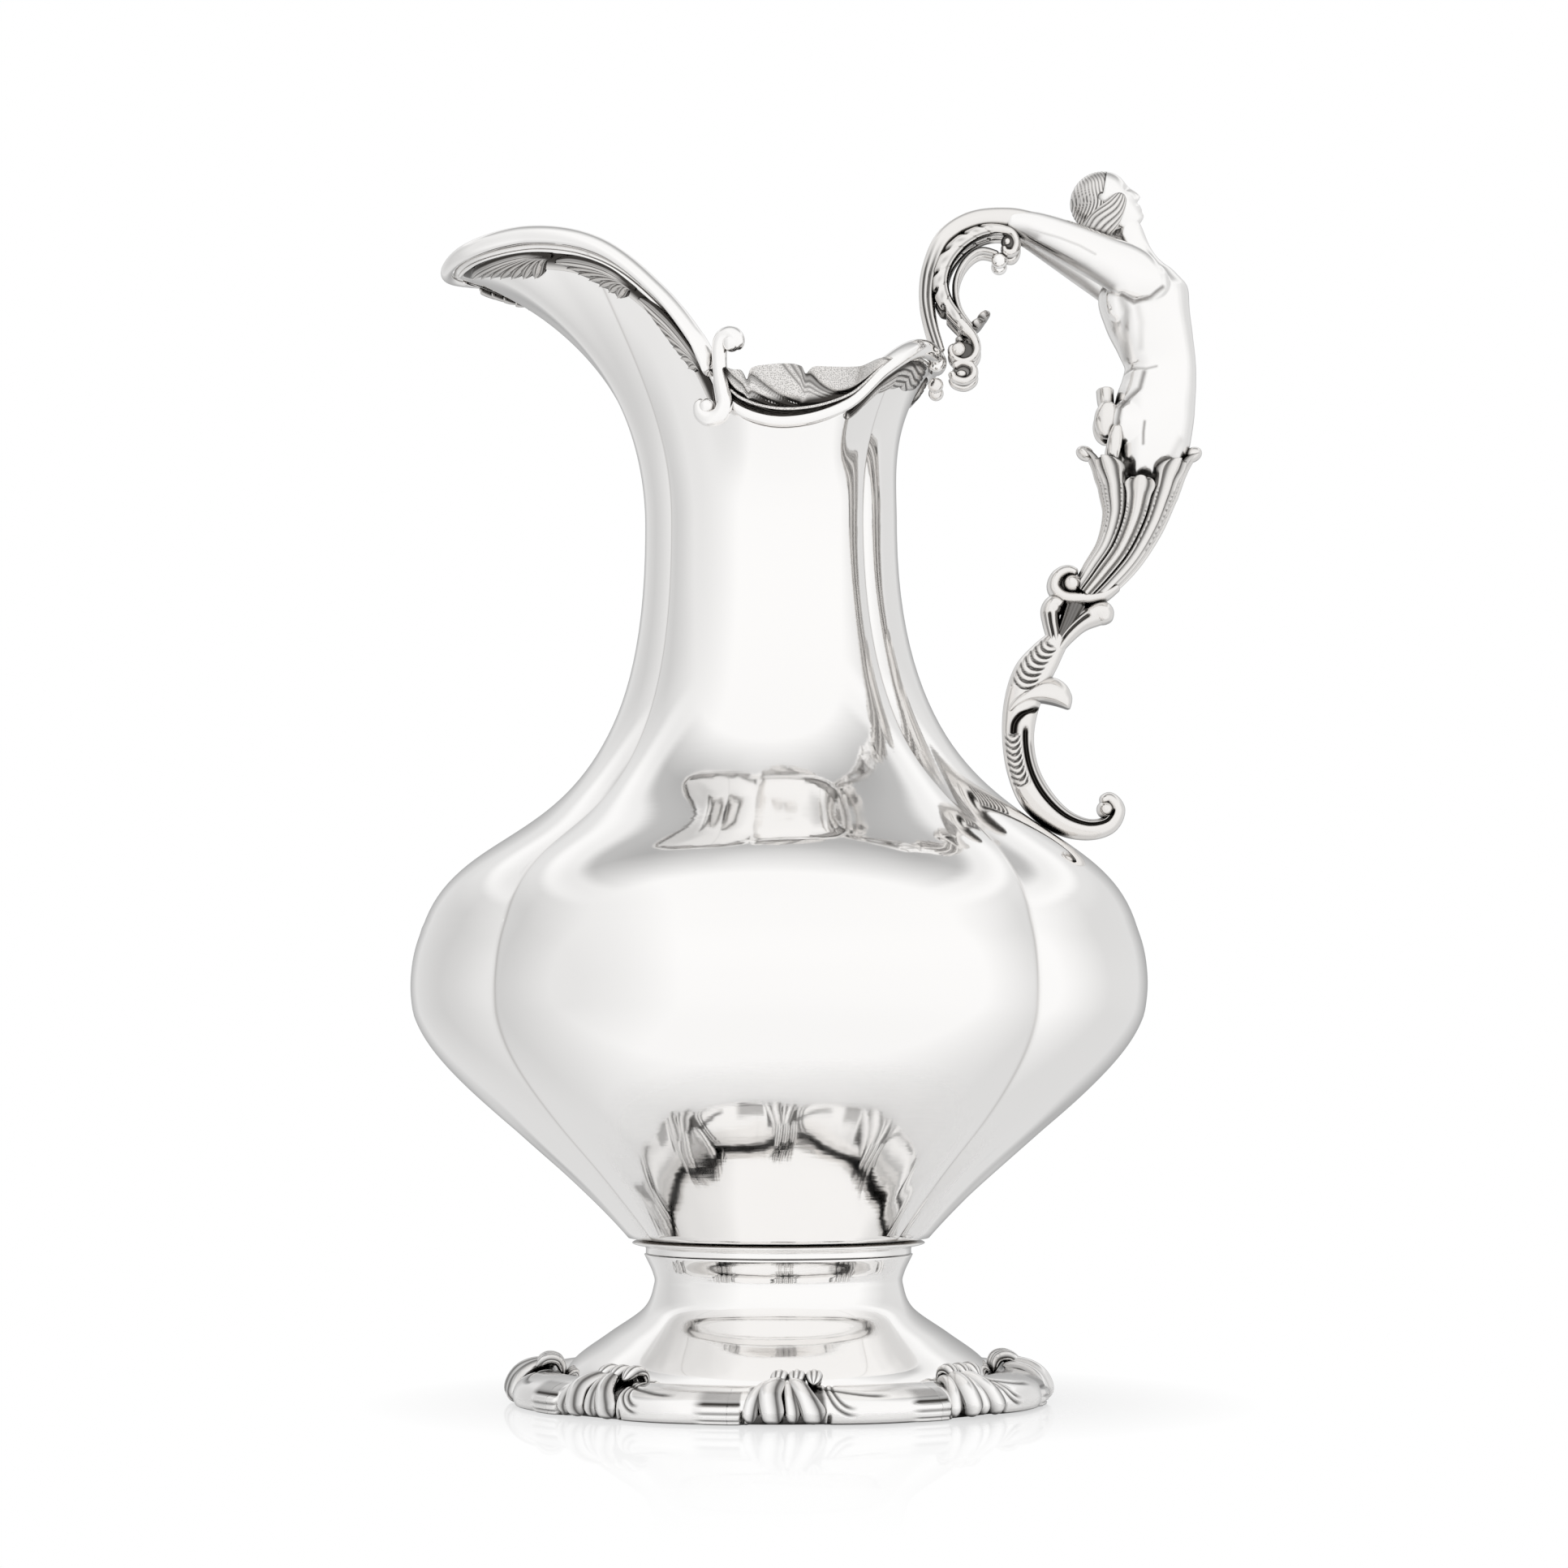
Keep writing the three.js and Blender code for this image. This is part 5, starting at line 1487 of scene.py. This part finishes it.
def make_world():
    """White studio, bright in front and greyer behind, with a bright strip half way up.

    The camera and the floor's mirror image see it as plain white.
    """
    world = bpy.data.worlds.new("studio")
    bpy.context.scene.world = world
    world.use_nodes = True
    tree = world.node_tree
    place = add_node(tree, "ShaderNodeTexCoord").outputs["Generated"]
    way = add_node(tree, "ShaderNodeSeparateXYZ", Vector=place).outputs
    raised = calculate(tree, "MAXIMUM", way["Z"], 0.0)
    depth = calculate(tree, "MULTIPLY_ADD", raised, OVERHEAD_DEPTH, way["Y"])
    front, rear = (grey_ramp(tree, way["Z"], stops) for stops in (FRONT_LIGHT, REAR_LIGHT))
    room = mixed_colour(tree, mapped(tree, depth, *REAR_START), front, rear)
    dimmed = calculate(tree, "MULTIPLY", mapped(tree, way["X"], *LEFT_DIM), mapped(tree, way["Y"], *FAR_DIM))
    shaded = mixed_colour(tree, 1, room, dimmed, "MULTIPLY")
    ray = add_node(tree, "ShaderNodeLightPath").outputs
    plain = calculate(tree, "MAXIMUM", ray["Is Camera Ray"], ray["Is Singular Ray"])
    seen = mixed_colour(tree, plain, shaded, (1, 1, 1, 1))
    set_inputs(tree, tree.nodes["Background"], {"Color": seen, "Strength": 1})


# Camera, at the photograph's viewing angle

CAMERA_DISTANCE = 0.92
CAMERA_HEIGHT = 0.083
CAMERA_PITCH = 4.7
CAMERA_TURN = 3.0
CAMERA_FIELD = 24.9
CAMERA_SIDE = 0.0014


def make_camera():
    data = bpy.data.cameras.new("camera")
    data.sensor_fit = "HORIZONTAL"
    data.angle = radians(CAMERA_FIELD)
    camera = bpy.data.objects.new("camera", data)
    bpy.context.scene.collection.objects.link(camera)
    turn = radians(CAMERA_TURN)
    beside = Vector((cos(turn), sin(turn), 0)) * CAMERA_SIDE
    away = Vector((sin(turn), -cos(turn), 0)) * CAMERA_DISTANCE
    camera.location = away + beside + Vector((AXIS_X, 0, CAMERA_HEIGHT))
    camera.rotation_euler = (radians(90 + CAMERA_PITCH), 0, turn)
    bpy.context.scene.camera = camera


bpy.context.scene.view_settings.view_transform = "Standard"
hand_work = hand_work_group()
oxide_and_shade = oxide_and_shade_group()
silver = silver_finish(
    "polished_silver", SILVER, SHADE, reach=1.4, roughness=0.07, wave_size=28, wave_height=0.4)
chased = silver_finish(
    "chased_silver", SHADED_CHASED_SILVER, OXIDE_AND_SHADE, reach=2.6, roughness=0.15, wave_size=160, wave_height=0.1)
border_silver = silver_finish(
    "border_silver", SILVER, OXIDE_AND_SHADE, reach=2.2, roughness=0.15, wave_size=160, wave_height=0.1)
stippled = silver_finish(
    "stippled_silver", SHADED_CHASED_SILVER, OXIDE_AND_SHADE, reach=2.6, roughness=0.22, wave_size=160, wave_height=0.1,
    stipple=0.62)
# Its wide reach paints shade on the figure where the petals, hips and arms close it in
skin_silver = silver_finish(
    "figure_silver", SILVER, SKIN_SHADE, reach=3.4, roughness=0.17, wave_size=120, wave_height=0.1)

make_single("lobed_body", add_body, silver, "body")
make_single("collar_ring", add_collar, silver, "collar")
make_single("pedestal_spool", add_pedestal, silver, "pedestal")
make_foot_border(border_silver)
make_single("spout_lip", add_spout_rim, silver, "spout_rim")
make_pair("spout_spray", add_spout_leaf, chased, "spout_leaf")
make_pair("mouth_scroll", add_rim_scroll, silver, "rim_scroll")
make_pair("side_bead", add_side_rim, silver, "side_rim")
make_pair("shell_leaf", add_side_shell, stippled, "side_shell")
make_pair("fan_leaf", add_rear_leaf, stippled, "rear_leaf")
make_single("seat_boss", add_handle_seat, silver, "handle_seat")
make_single("scroll_bar", add_lower_scroll, chased, "lower_scroll")
make_single("hooded_leaf", add_lower_leaf, chased, "lower_leaf")
make_single("trumpet_knop", add_knop, chased, "knop")
make_single("horn_volute", add_calyx_roll, chased, "calyx_roll")
make_single("leafy_horn", add_calyx, chased, "calyx")
make_figure(skin_silver)
make_head(skin_silver, chased)
make_single("hip_lobes", add_hip_leaves, chased, "hip_leaves")
make_pair("scroll_strand", add_strand, chased, "handle_strand")
make_pair("acanthus_leaf", add_handle_leaf, chased, "handle_leaf")
make_pair("pearl", add_pearl, silver, "handle_pearl")
make_single("spur_leaf", add_spur, chased, "handle_spur")
make_floor()
make_world()
make_camera()
